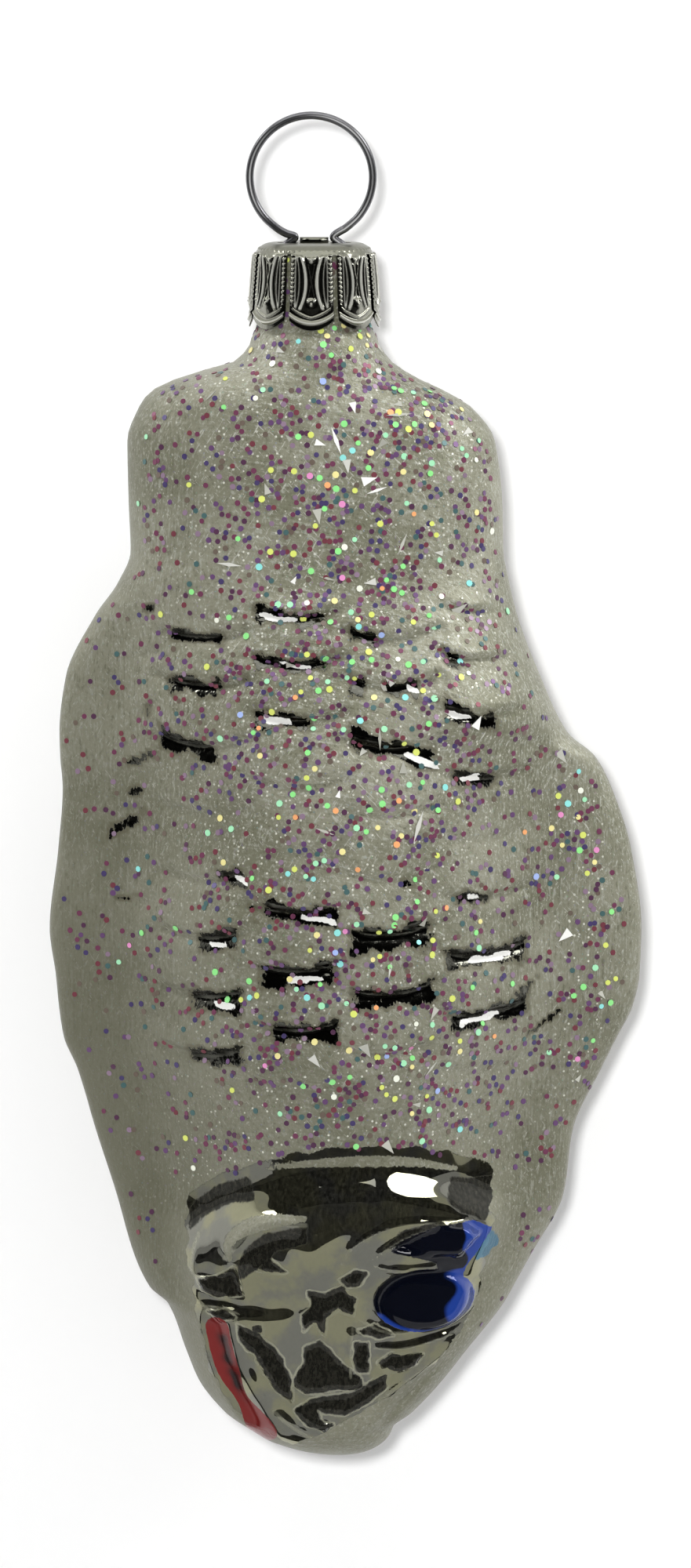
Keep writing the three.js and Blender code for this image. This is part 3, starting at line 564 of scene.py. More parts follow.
def make_glass():
    """The whole shell: the outside from the neck's rim to the nose, and the inside back up to the rim."""
    turns = -np.arange(AROUND) * math.tau / AROUND
    drops, inner_drops = ring_drops()
    outside = fish_surface(*np.meshgrid(turns, drops))
    inside = fish_surface(*np.meshgrid(turns, inner_drops), GLASS_WALL)
    points = np.concatenate([outside.reshape(-1, 3), inside.reshape(-1, 3)])
    nose_x = (right_edge(1.0) - left_edge(1.0)) / 2
    tips = [(nose_x, 0, NOSE_Z), (nose_x, 0, NOSE_Z + GLASS_WALL)]
    outer_count = len(drops) * AROUND
    last, first, rim = outer_count - AROUND, outer_count, len(points) - AROUND
    ring_starts = [*range(0, last, AROUND), *range(first, rim, AROUND)]
    faces = []
    for i in range(AROUND):
        nxt = (i + 1) % AROUND
        for a in ring_starts:
            faces.append((a + i, a + AROUND + i, a + AROUND + nxt, a + nxt))
        faces.append((last + i, len(points), last + nxt))
        faces.append((first + i, first + nxt, len(points) + 1))
        faces.append((rim + i, i, nxt, rim + nxt))
    glass = mesh_object("glass", np.concatenate([points, tips]), faces)
    outer = np.zeros(len(points) + 2)
    outer[:outer_count] = 1
    outer[-2] = 1
    x, z = flat_places(glass)
    mark_head(glass, x, z, outer)
    mark_paint(glass, x, z, outer)
    mark_lacquer(glass, x, z, outer)
    return glass


def onto_head(x, z):
    """How far (x, z) lies inside the head's border, in millimetres."""
    gill = GILL_R - np.hypot(x - GILL_X, z - GILL_Z)
    return np.maximum(gill + 0.6 + 0.15 * unevenness(x, z, 3.0, 3), LOW_FACE_Z - z)


def mark_head(glass, x, z, outer):
    """Where the head is bare mirror, and how far each point is from its painted dark reflections and its
    folds.
    """
    wavy = 0.3 * unevenness(x, z, 2.4, 21)
    right_line = np.interp(-z, BARE_DOWN, BARE_RIGHT) + wavy
    left_line = np.interp(-z, BARE_DOWN, BARE_LEFT) + wavy
    into_mirror = np.minimum(onto_head(x, z), np.minimum(right_line - x, x - left_line))
    for stripe, thin, thick in ((GILL_STRIPE, 0.16, 0.34), (BROW_STRIPE, 0.2, 0.45)):
        stroke, along = stroke_distance(x, z, rounded(stripe))
        into_mirror = np.minimum(into_mirror, stroke - thin - thick * hump((along - 0.53) / 0.38))
    from_island, from_shade, from_ridge = np.full(len(x), 1.0), np.full(len(x), 1.0), np.full(len(x), 2.0)
    ragged = 0.1 * unevenness(x, z, 1.6, 9)
    # The flats and the shades are both drawn dark in the material: painted dark reflections.
    for _, _, points in HEAD_FLATS[:-1]:
        from_island = np.minimum(from_island, patch_distance(x, z, points) + ragged)
    for points in HEAD_SHADES:
        from_shade = np.minimum(from_shade, patch_distance(x, z, points) + ragged)
    for points, width, height in HEAD_FOLDS:
        if height > 0:
            from_ridge = np.minimum(from_ridge, stroke_distance(x, z, rounded(points))[0] / width)
    set_values(glass, {
        "into_mirror": np.clip(into_mirror, -1, 1) * outer + (1 - outer),
        "from_island": np.maximum(from_island, -1),
        "from_shade": np.maximum(from_shade, -1),
        "from_ridge": from_ridge,
    })


def mark_paint(glass, x, z, outer):
    """Where the eye and the mouth are painted, and how thinly."""
    eye = np.hypot((x - EYE_X) / (EYE_HALF_X + 0.15), (z - EYE_Z) / (EYE_HALF_Z + 0.15))
    lens = patch_distance(x, z, LENS_PAINT)
    smear = np.hypot((x - 14.9) / 1.3, (z + 99.0) / 1.6) + 0.2 * unevenness(x, z, 1.6, 17)
    drift = x + 0.5 * unevenness(x, z, 3.2, 33)
    thin = smoothstep(11.2, 12.6, drift) * smoothstep(-100.6, -101.4, z) + smoothstep(12.9, 13.7, drift)
    thin = np.maximum(thin, 0.7 * smoothstep(0.82, 1.0, eye) * smoothstep(-104.2, -105.2, z))
    d, along = stroke_distance(x, z, rounded(MOUTH))
    width = 1.05 - 0.5 * hump((along - 0.66) / 0.18) + 0.25 * hump((along - 1.0) / 0.2)
    beside, beside_along = stroke_distance(x - 0.35, z, rounded(MOUTH))
    shade = hump(beside / 0.5) * smoothstep(0.75, 0.5, beside_along) * smoothstep(0.0, 0.1, beside_along)
    set_values(glass, {
        "blue_paint": np.maximum(smoothstep(1.12, 0.92, eye), smoothstep(0.5, -0.3, lens)) * outer,
        "thin_blue": np.clip(thin, 0, 1),
        "teal_paint": smoothstep(1.3, 0.5, smear) * outer,
        "red_paint": smoothstep(1.25, 0.75, d / width) * outer,
        "red_shade": np.clip(shade * (0.8 + 0.5 * unevenness(x, z, 1.4, 29)), 0, 1),
    })


def mark_lacquer(glass, x, z, outer):
    """Where the lacquer missed the grooves, and how thickly the glitter lies on it."""
    missed, highlight_paint = missed_lacquer(x, z)
    lower = below_edge(np.round((x - SCALE_FIRST_X) / SCALE_COLUMN), x, z) * SCALE_ROW
    face = smoothstep(-0.25, 0.25, onto_head(x, z))
    face = face * smoothstep(0.3, -0.3, x - np.interp(-z, FACE_DOWN, FACE_RIGHT))
    face = face * smoothstep(-0.3, 0.3, x - FACE_LEFT_X)
    to_edge = place_across(x, np.clip((COLLAR_Z - z) / BODY_LENGTH, 0, 1))[1]
    open_side = (1 - face) * (1 - 0.75 * missed) * smoothstep(1.0, 0.9, to_edge) * outer
    tail = smoothstep(-70, -35, z)
    amount = 0.25 + 0.75 * hump((x - 3.0) / 13.5)
    # The pale flakes gather down the middle of the front, painted glints where the light falls on the
    # glitter.
    middle = hump((x - 4.0) / 8.5) + 0.04
    right_fin_glitter = hump((x - 24.0) / 2.6) * smoothstep(-95, -88, z) * smoothstep(-54, -60, z)
    dull = np.clip(amount + 0.6 * right_fin_glitter, 0, 1) * (0.8 + 0.2 * tail)
    sparkling = np.clip(middle * (0.75 + 0.25 * tail) + 0.7 * right_fin_glitter, 0, 1)
    set_values(glass, {
        "bright_run": highlight_paint * outer,
        # glint: lower in each groove, where the painted shade in the groove gives way to lighter mirror.
        "glint": smoothstep(0.6, 0.85, lower + 0.12 * unevenness(x, z, 3.0, 27)),
        "bare": missed * outer + (1 - outer),
        "glitter": dull * open_side,
        "sparkle": sparkling * open_side,
    })


def flat_places(obj):
    """The x and z of an object's points, in millimetres."""
    co = np.empty(len(obj.data.vertices) * 3)
    obj.data.vertices.foreach_get("co", co)
    co = co.reshape(-1, 3) / MM
    return co[:, 0], co[:, 2]


# The cap.
CAP_R = NECK_R + SEAT_GAP + SHEET
CAP_FLARE = 0.45
SHOULDER_R = 1.5
PANEL_LEAN = math.radians(55)
PANELS = 8
PANEL_TURN = math.radians(-2.4)
SCALLOP = 1.1
SLIT_WIDTH = 0.5
SLIT_TOP = 0.9
SLOT_X = 2.31
SLOT_LENGTH = 1.9
SLOT_WIDTH = 1.0
BRIDGE_HALF = 1.25
BRIDGE_HEIGHT = 0.5
PANEL_HALF = 2.1
PANEL_TALL = 6.4
DOME_HEIGHT = 0.16
DOME_Z, DOME_HALF = 4.35, 0.62
BEAD_X, BEAD_PITCH, BEAD_HALF, BEAD_HEIGHT = 1.66, 0.42, 0.13, 0.16
DOT_HEIGHT = 0.17
LIP_STANDS_OUT = 0.2
# Ribs of a panel: x from its middle, how far they bow out, half width and height.
PANEL_RIBS = [(1.36, 0.0, 0.09, 0.14), (1.02, 0.26, 0.09, 0.14), (0.46, 0.52, 0.14, 0.24)]
# Dots of a panel: x, z down from the shoulder, half width and half height.
PANEL_DOTS = [
    (0.19, 0.55, 0.16, 0.14), (0.0, 0.75, 0.16, 0.12), (0.24, 3.98, 0.15, 0.15), (0.0, 4.25, 0.15, 0.13),
]
PLEATS, PLEAT_HEIGHT = 56, 0.07
# How finely the cap is divided.
CAP_COLUMNS = 56
CAP_ROWS = 100
TOP_ROWS, SHOULDER_ROWS = 14, 15
CAP_CENTRE_R = 0.4


def spot(x, z, half_x, half_z):
    """A rounded spot of height 1 at (0, 0)."""
    return hump(np.hypot(x / half_x, z / half_z))


def panel_relief(u, v, dome_height=DOME_HEIGHT):
    """Stamping of one panel: u is -1 to 1 across it, v is 0 at the shoulder and 1 at the hem."""
    x, z = np.abs(u) * PANEL_HALF, v * PANEL_TALL
    beads = spot(x - BEAD_X, np.mod(z, BEAD_PITCH) - BEAD_PITCH / 2, BEAD_HALF, BEAD_HALF)
    relief = BEAD_HEIGHT * beads * smoothstep(0.1, 0.3, z) * smoothstep(4.9, 4.7, z)
    upright = smoothstep(0.15, 0.45, z) * smoothstep(5.0, 4.6, z)
    for rib_x, bow, half, height in PANEL_RIBS:
        relief += height * upright * hump((x - rib_x - bow * ((z - 2.5) / 2.3) ** 2) / half)
    for dot_x, dot_z, half_x, half_z in PANEL_DOTS:
        relief += DOT_HEIGHT * spot(x - dot_x, z - dot_z, half_x, half_z)
    cross = hump((x - 0.3 * np.abs(z - 2.4) / 1.5) / 0.07)
    relief += 0.1 * cross * smoothstep(0.9, 1.1, z) * smoothstep(4.0, 3.7, z)
    relief += dome_height * hump(np.hypot(x / DOME_HALF, (z - DOME_Z) / DOME_HALF) ** 2)
    relief += 0.12 * hump((z - 5.28 + 0.32 * (x / 1.5 - 0.3)) / 0.1) * smoothstep(1.75, 1.5, x)
    return relief + LIP_STANDS_OUT * hump((z - 5.78) / 0.15)


def make_cap():
    """The stamped cap: a flat top, a rounded shoulder and a skirt of panels with a scalloped hem."""
    columns = PANELS * CAP_COLUMNS
    turns = -np.arange(columns) * math.tau / columns
    place = (turns - (math.pi / 2 - PANEL_TURN)) / (math.tau / PANELS)
    u = 2 * (place - np.round(place))
    flat_r, shoulder = CAP_R - SHOULDER_R, CAP_TOP - SHOULDER_R

    def on_shoulder(r, lean):
        return flat_r + r * math.sin(lean), shoulder + r * math.cos(lean)

    outer = [(r, CAP_TOP) for r in np.linspace(CAP_CENTRE_R, flat_r, TOP_ROWS)]
    for lean in np.linspace(0, PANEL_LEAN, SHOULDER_ROWS)[1:-1]:
        pleats = PLEAT_HEIGHT * hump((lean - PANEL_LEAN + 0.16) / 0.07) * np.cos(turns * PLEATS / 2) ** 2
        outer.append(on_shoulder(SHOULDER_R + pleats, lean))
    arc = SHOULDER_R * (math.pi / 2 - PANEL_LEAN)
    side = arc + shoulder - CAP_HEM
    hem = CAP_HEM + SCALLOP * u**2
    for v in np.linspace(0, 1, CAP_ROWS):
        relief = panel_relief(u, v)
        down = (v * side - arc) / (side - arc)
        if down < 0:
            outer.append(on_shoulder(SHOULDER_R + relief, PANEL_LEAN + v * side / SHOULDER_R))
        else:
            outer.append((CAP_R + CAP_FLARE * down + relief, shoulder + (hem - shoulder) * down))
    inner = []
    for v in np.linspace(1, 0, 12):
        flare = 0.2 * smoothstep(0.86, 0.95, v)
        inner.append((CAP_R - SHEET + CAP_FLARE * v + flare, shoulder + (hem - shoulder) * v))
    inner += [on_shoulder(SHOULDER_R - SHEET, lean) for lean in np.linspace(math.pi / 2, 0, 7)[1:-1]]
    inner += [(r, CAP_TOP - SHEET) for r in np.linspace(flat_r, CAP_CENTRE_R, 5)]
    rings = outer + inner
    points = [(0, 0, CAP_TOP)]
    for r, z in rings:
        points += np.stack([r * np.cos(turns), -r * np.sin(turns), z + 0 * turns], -1).tolist()
    points.append((0, 0, CAP_TOP - SHEET))
    cap = mesh_object("cap", points, skin(len(rings), columns))
    raised = np.zeros(len(points))
    first = 1 + (len(outer) - CAP_ROWS) * columns
    rows = [panel_relief(u, v, 0.0) / LIP_STANDS_OUT for v in np.linspace(0, 1, CAP_ROWS)]
    raised[first : first + CAP_ROWS * columns] = np.clip(np.concatenate(rows), 0, 1)
    set_values(cap, {"raised": raised, "sheet": np.ones(len(points))})
    cut_cap(cap)
    return cap


def prism(name, low, high):
    """A closed prism between two rings of points, each anticlockwise from above."""
    n = len(low)
    faces = [tuple(reversed(range(n))), tuple(range(n, 2 * n))]
    faces += [(i, (i + 1) % n, n + (i + 1) % n, n + i) for i in range(n)]
    return mesh_object(name, low + high, faces, smooth=False)


def slit_cutter(name, turn):
    """A plate that cuts a slit on each side of the cap."""
    cos, sin = math.cos(turn), math.sin(turn)
    x, y = CAP_R * 3, SLIT_WIDTH / 2
    ring = [(a * cos - b * sin, a * sin + b * cos) for a, b in ((-x, -y), (x, -y), (x, y), (-x, y))]
    low, high = ([(a, b, z) for a, b in ring] for z in (CAP_HEM - 1 - SLIT_TOP, CAP_TOP - SLIT_TOP))
    return prism(name, low, high)


def slot_cutter(name, centre_x):
    """An upright prism with round ends, for one of the wire's slots."""
    ring = []
    for i in range(24):
        a = math.tau * i / 24
        shift = math.copysign((SLOT_LENGTH - SLOT_WIDTH) / 2, math.cos(a))
        ring.append((centre_x + shift + SLOT_WIDTH / 2 * math.cos(a), SLOT_WIDTH / 2 * math.sin(a)))
    low, high = ([(x, y, z) for x, y in ring] for z in (CAP_TOP - 2 * SHEET, CAP_TOP + 2 * SHEET))
    return prism(name, low, high)


def bridge_bar():
    """The raised strap between the slots, which the wire's pinch grips."""
    points = []
    for x in (-BRIDGE_HALF, BRIDGE_HALF):
        for i in range(13):
            a = math.pi * i / 12
            points.append((x, 0.4 * math.cos(a), CAP_TOP - 0.1 + (BRIDGE_HEIGHT + 0.1) * math.sin(a) ** 0.6))
    faces = [tuple(range(13)), tuple(reversed(range(13, 26)))]
    faces += [(i, 13 + i, 13 + (i + 1) % 13, (i + 1) % 13) for i in range(13)]
    return mesh_object("bridge_bar", points, faces)


def cut_cap(cap):
    """Cuts the slits between the panels and the two slots for the wire, and adds the bridge."""
    tools = []
    for i in range(PANELS // 2):
        turn = -(math.pi / 2 - PANEL_TURN) + (i + 0.5) * math.tau / PANELS
        tools.append(slit_cutter(f"slit_cutter_{i}", turn))
    for side in (-1, 1):
        tools.append(slot_cutter(f"slot_cutter_{side}", side * SLOT_X))
    tools.append(bridge_bar())
    for tool in tools:
        join = cap.modifiers.new(tool.name, "BOOLEAN")
        join.operation = "UNION" if tool is tools[-1] else "DIFFERENCE"
        join.solver = "MANIFOLD"
        join.object = tool
    apply_modifiers(cap)
    for tool in tools:
        bpy.data.objects.remove(tool)


def apply_modifiers(obj):
    """Turns the object's evaluated form into its plain mesh."""
    graph = bpy.context.evaluated_depsgraph_get()
    graph.update()
    mesh = bpy.data.meshes.new_from_object(obj.evaluated_get(graph))
    obj.modifiers.clear()
    old = obj.data
    obj.data = mesh
    bpy.data.meshes.remove(old)
    mesh.name = obj.name


# The wire.
WIRE_R = 0.35
LOOP_R = 5.4
LOOP_X = -0.26
LOOP_Z = -5.25
LOOP_GAP = math.radians(65)
LEG_GAP = 0.3
LEG_X = NECK_R - NECK_WALL - LEG_GAP - WIRE_R
LEG_DROP = 15.0
PINCH_X = 1.7
LEFT_SHOULDER_DROP = 0.3
PINCH_RISE = 0.5
WIRE_SIDES = 20
LOOP_SPANS = 16


def wire_path():
    half = [
        (LEG_X, CAP_TOP - LEG_DROP),
        (LEG_X, CAP_TOP - LEG_DROP * 0.6),
        (LEG_X - 0.05, CAP_TOP - 4),
        (LEG_X - 0.3, CAP_TOP - 1.6),
        (PINCH_X + 0.85, CAP_TOP - 0.3),
        (PINCH_X, CAP_TOP + PINCH_RISE),
        (PINCH_X + 0.75, CAP_TOP + PINCH_RISE + 0.6),
    ]
    loop = []
    for i in range(LOOP_SPANS + 1):
        a = -math.pi / 2 + LOOP_GAP / 2 + (math.tau - LOOP_GAP) * i / LOOP_SPANS
        loop.append((LOOP_X + LOOP_R * math.cos(a), LOOP_Z + LOOP_R * math.sin(a)))
    left = [(-x, z) for x, z in reversed(half)]
    left[0] = (left[0][0], left[0][1] - LEFT_SHOULDER_DROP)
    return half + loop + left


def centripetal(points, per_span=14):
    """A centripetal Catmull-Rom curve through flat points."""
    p = np.array(points, float)
    p = np.vstack([2 * p[0] - p[1], p, 2 * p[-1] - p[-2]])
    out = []
    for i in range(1, len(p) - 2):
        a, b, c, d = p[i - 1 : i + 3]
        t = [0.0]
        for q, r in ((a, b), (b, c), (c, d)):
            t.append(t[-1] + max(np.linalg.norm(r - q), 1e-6) ** 0.5)
        for s in np.linspace(t[1], t[2], per_span, endpoint=False):
            ab = ((t[1] - s) * a + (s - t[0]) * b) / (t[1] - t[0])
            bc = ((t[2] - s) * b + (s - t[1]) * c) / (t[2] - t[1])
            cd = ((t[3] - s) * c + (s - t[2]) * d) / (t[3] - t[2])
            abc = ((t[2] - s) * ab + (s - t[0]) * bc) / (t[2] - t[0])
            bcd = ((t[3] - s) * bc + (s - t[1]) * cd) / (t[3] - t[1])
            out.append(((t[2] - s) * abc + (s - t[1]) * bcd) / (t[2] - t[1]))
    return np.array(out + [p[-2]])


def make_wire():
    path = centripetal(wire_path())
    tangent = np.gradient(path, axis=0)
    tangent /= np.linalg.norm(tangent, axis=1)[:, None]
    across = np.stack([-tangent[:, 1], tangent[:, 0]], -1)
    points = [(path[0, 0], 0, path[0, 1])]
    for (x, z), (ax, az) in zip(path, across):
        for i in range(WIRE_SIDES):
            a = math.tau * i / WIRE_SIDES
            out, y = WIRE_R * math.cos(a), WIRE_R * math.sin(a)
            points.append((x + out * ax, y, z + out * az))
    points.append((path[-1, 0], 0, path[-1, 1]))
    wire = mesh_object("wire", points, skin(len(path), WIRE_SIDES))
    fix_normals(wire)
    x, z = flat_places(wire)
    # A painted highlight line along the front of the wire, broken here and there.
    around = np.tile(math.tau * np.arange(WIRE_SIDES) / WIRE_SIDES, len(path))
    broken = np.clip(0.55 + 0.6 * unevenness(x[1:-1], z[1:-1], 11.0, 41), 0.1, 1)
    crest = hump((around - 1.5 * math.pi) / 0.26) * broken
    set_values(wire, {"crest": np.concatenate([[0], crest, [0]])})
    return wire


def fix_normals(obj):
    bm = bmesh.new()
    bm.from_mesh(obj.data)
    bmesh.ops.recalc_face_normals(bm, faces=bm.faces)
    bm.to_mesh(obj.data)
    bm.free()


# Material helpers. Colours are given as on a screen, from 0 to 1.
def screen(r, g, b):
    """A screen colour as Blender's linear colour."""
    linear = [c / 12.92 if c <= 0.04045 else ((c + 0.055) / 1.055) ** 2.4 for c in (r, g, b)]
    return (*linear, 1.0)


class Tree:
    """Short calls to add and link nodes."""

    def __init__(self, tree):
        self.tree = tree

    def add(self, kind, inputs=None, **settings):
        node = self.tree.nodes.new(kind)
        for key, value in settings.items():
            setattr(node, key, value)
        for key, value in (inputs or {}).items():
            self.put(node.inputs[key], value)
        return node

    def put(self, socket, value):
        if isinstance(value, bpy.types.NodeSocket):
            self.tree.links.new(value, socket)
        else:
            socket.default_value = value

    def feed(self, node, **values):
        """Sets or links a node's inputs by name, with _ for each space."""
        for key, value in values.items():
            self.put(node.inputs[key.replace("_", " ")], value)
        return node

    def maths(self, operation, *values, clamp=False):
        node = self.add("ShaderNodeMath", operation=operation, use_clamp=clamp)
        for socket, value in zip(node.inputs, values):
            self.put(socket, value)
        return node.outputs[0]

    def times(self, a, b):
        return self.maths("MULTIPLY", a, b)

    def plus(self, a, b):
        return self.maths("ADD", a, b)

    def larger(self, a, b):
        return self.maths("MAXIMUM", a, b)

    def times_plus(self, a, b, c):
        return self.maths("MULTIPLY_ADD", a, b, c)

    def mix_colour(self, amount, a, b):
        node = self.add("ShaderNodeMix", data_type="RGBA")
        for socket, value in zip((node.inputs["Factor"], node.inputs[6], node.inputs[7]), (amount, a, b)):
            self.put(socket, value)
        return node.outputs[2]

    def mix_value(self, amount, a, b):
        node = self.add("ShaderNodeMix", data_type="FLOAT")
        for socket, value in zip((node.inputs["Factor"], node.inputs[2], node.inputs[3]), (amount, a, b)):
            self.put(socket, value)
        return node.outputs[0]

    def layers(self, colour, *layers):
        """Lays colours over one another, each where its mask is 1."""
        for mask, over in layers:
            colour = self.mix_colour(mask, colour, over)
        return colour

    def ramp(self, value, low, high, out_low=0.0, out_high=1.0, smooth=True):
        node = self.add("ShaderNodeMapRange", interpolation_type="SMOOTHSTEP" if smooth else "LINEAR")
        for socket, v in zip(node.inputs[:5], (value, low, high, out_low, out_high)):
            self.put(socket, v)
        return node.outputs[0]

    def noise(self, place, scale, detail, roughness=0.5):
        node = self.add("ShaderNodeTexNoise")
        return self.feed(node, Vector=place, Scale=scale, Detail=detail, Roughness=roughness).outputs[0]

    def bumped(self, height, distance, strength):
        node = self.add("ShaderNodeBump")
        return self.feed(node, Height=height, Distance=distance, Strength=strength).outputs[0]

    def attribute(self, name):
        return self.add("ShaderNodeAttribute", attribute_name=name).outputs["Fac"]

    def object_place(self):
        return self.add("ShaderNodeTexCoord").outputs["Object"]

    def group(self, group, **values):
        return self.feed(self.add("ShaderNodeGroup", node_tree=group), **values)


def new_group(name, inputs, outputs):
    """A shader node group, as its tree and the sockets to read and to fill inside it."""
    group = bpy.data.node_groups.new(name, "ShaderNodeTree")
    for label, kind, value in inputs:
        socket = group.interface.new_socket(label, in_out="INPUT", socket_type=kind)
        if value is not None:
            socket.default_value = value
    for label, kind in outputs:
        group.interface.new_socket(label, in_out="OUTPUT", socket_type=kind)
    tree = Tree(group)
    return tree, tree.add("NodeGroupInput").outputs, tree.add("NodeGroupOutput").inputs


def brush_strokes_group():
    """Fine marks drawn out along one direction: the drag of a brush, a die or a drawing plate."""
    tree, given, out = new_group(
        "brush_strokes",
        [
            ("Vector", "NodeSocketVector", None),
            ("Marks per mm", "NodeSocketFloat", 4.0),
            ("Across", "NodeSocketVector", (1.0, 1.0, 0.15)),
            ("Contrast", "NodeSocketFloat", 1.0),
            ("Turn", "NodeSocketFloat", 0.0),
        ],
        [("Marks", "NodeSocketFloat")],
    )
    turned = tree.add("ShaderNodeVectorRotate", rotation_type="Y_AXIS")
    tree.feed(turned, Vector=given["Vector"], Angle=given["Turn"])
    stretched = tree.add("ShaderNodeVectorMath", operation="MULTIPLY")
    tree.put(stretched.inputs[0], turned.outputs[0])
    tree.put(stretched.inputs[1], given["Across"])
    marks = tree.noise(stretched.outputs[0], tree.times(given["Marks per mm"], 1000.0), 3.0, 0.6)
    tree.put(out["Marks"], tree.times(tree.maths("SUBTRACT", marks, 0.5), given["Contrast"]))
    return tree.tree


def specks_group():
    """Small separate specks, such as glitter dust in lacquer or pits in a stamping."""
    tree, given, out = new_group(
        "specks",
        [
            ("Vector", "NodeSocketVector", None),
            ("Specks per mm", "NodeSocketFloat", 2.0),
            ("Size", "NodeSocketFloat", 0.2),
            ("Kept", "NodeSocketFloat", 0.4),
        ],
        [("Mask", "NodeSocketFloat"), ("Colour", "NodeSocketColor")],
    )
    cells = tree.add("ShaderNodeTexVoronoi")
    tree.feed(cells, Vector=given["Vector"], Scale=tree.times(given["Specks per mm"], 1000.0), Randomness=1.0)
    picked = tree.add("ShaderNodeSeparateColor", {0: cells.outputs["Color"]})
    kept = tree.maths("LESS_THAN", picked.outputs[0], given["Kept"])
    disc = tree.ramp(cells.outputs["Distance"], tree.times(given["Size"], 0.6), given["Size"], 1.0, 0.0)
    tree.put(out["Mask"], tree.times(disc, kept))
    tree.put(out["Colour"], cells.outputs["Color"])
    return tree.tree


def new_material(name):
    material = bpy.data.materials.new(name)
    material.use_nodes = True
    return material, Tree(material.node_tree), material.node_tree.nodes["Principled BSDF"]


# Screen colours of the finishes.
COLOURS = dict(
    lacquer_low=(0.50, 0.50, 0.42),
    lacquer_high=(0.625, 0.622, 0.55),
    stroke_light=(0.74, 0.745, 0.70),
    stroke_dark=(0.36, 0.36, 0.28),
    hair=(0.82, 0.82, 0.78),
    shade_left_and_low=(0.42, 0.418, 0.35),
    thin_coat=(0.40, 0.385, 0.31),
    dust=(0.56, 0.50, 0.60),
    spark=(0.95, 0.95, 0.9),
    mirror_warm=(0.585, 0.58, 0.48),
    mirror_cool=(0.515, 0.515, 0.48),
    groove_shade_deep=(0.12, 0.12, 0.1),
    groove_shade_streak=(0.36, 0.355, 0.3),
    glint=(0.4, 0.4, 0.37),
    dark_reflection_deep=(0.15, 0.15, 0.13),
    dark_reflection_streak=(0.25, 0.245, 0.215),
    bright_run=(0.96, 0.96, 0.94),
    rim_highlight=(0.61, 0.61, 0.53),
    teal=(0.2, 0.44, 0.56),
    blue_deep=(0.03, 0.04, 0.08),
    blue_wash=(0.13, 0.24, 0.56),
    red_deep=(0.33, 0.045, 0.045),
    red_wash=(0.47, 0.10, 0.09),
    red_shade=(0.1, 0.03, 0.03),
    sheet_dark=(0.53, 0.53, 0.49),
    sheet_light=(0.62, 0.62, 0.58),
    pit=(0.3, 0.29, 0.26),
    polish_and_highlight=(0.82, 0.82, 0.78),
    slit_and_bar_shade=(0.3, 0.3, 0.28),
    top_shade=(0.49, 0.49, 0.44),
    wire_dark=(0.42, 0.42, 0.43),
    wire_light=(0.48, 0.48, 0.49),
    wire_highlight=(0.98, 0.98, 0.98),
)
TONE = {name: screen(*colour) for name, colour in COLOURS.items()}


def lacquer_colour(tree, place, specks, drag, ripples, fibres, hairs, bare, spark):
    """Frosted lacquer: cloudy, brushed, with painted shade at the left and low down, and glitter dust in it.
    """
    cloudy = tree.ramp(tree.noise(place, 75.0, 4.0, 0.6), 0.35, 0.65)
    along = tree.add("ShaderNodeSeparateXYZ", {0: place}).outputs
    from_middle = tree.maths("ABSOLUTE", tree.maths("SUBTRACT", along["X"], 0.003))
    stroke = tree.mix_value(tree.ramp(from_middle, 0.009, 0.016), ripples, drag)
    streaked = tree.plus(stroke, fibres)
    # Painted shade: darker and browner towards the left and low down.
    low_end = tree.ramp(along["Z"], -0.045, -0.095, 0.0, 0.46)
    left_side = tree.ramp(along["X"], 0.002, -0.024, 0.0, 0.5)
    dust = tree.group(specks, Vector=place, Specks_per_mm=3.0, Size=0.24, Kept=0.6).outputs
    colour = tree.layers(
        tree.mix_colour(cloudy, TONE["lacquer_low"], TONE["lacquer_high"]),
        (tree.ramp(streaked, 0.02, 0.25, 0.0, 0.65), TONE["stroke_light"]),
        (tree.ramp(streaked, -0.05, -0.3, 0.0, 0.6), TONE["stroke_dark"]),
        (tree.ramp(hairs, 0.11, 0.2, 0.0, 0.8), TONE["hair"]),
        (tree.maths("ADD", low_end, left_side, clamp=True), TONE["shade_left_and_low"]),
        (tree.ramp(bare, 0.02, 0.35, 0.0, 0.7), TONE["thin_coat"]),
        (
            tree.times(dust["Mask"], tree.ramp(tree.attribute("glitter"), 0.0, 1.0, 0.1, 0.35)),
            tree.mix_colour(0.5, TONE["dust"], dust["Colour"]),
        ),
        (spark, TONE["spark"]),
    )
    return colour, streaked


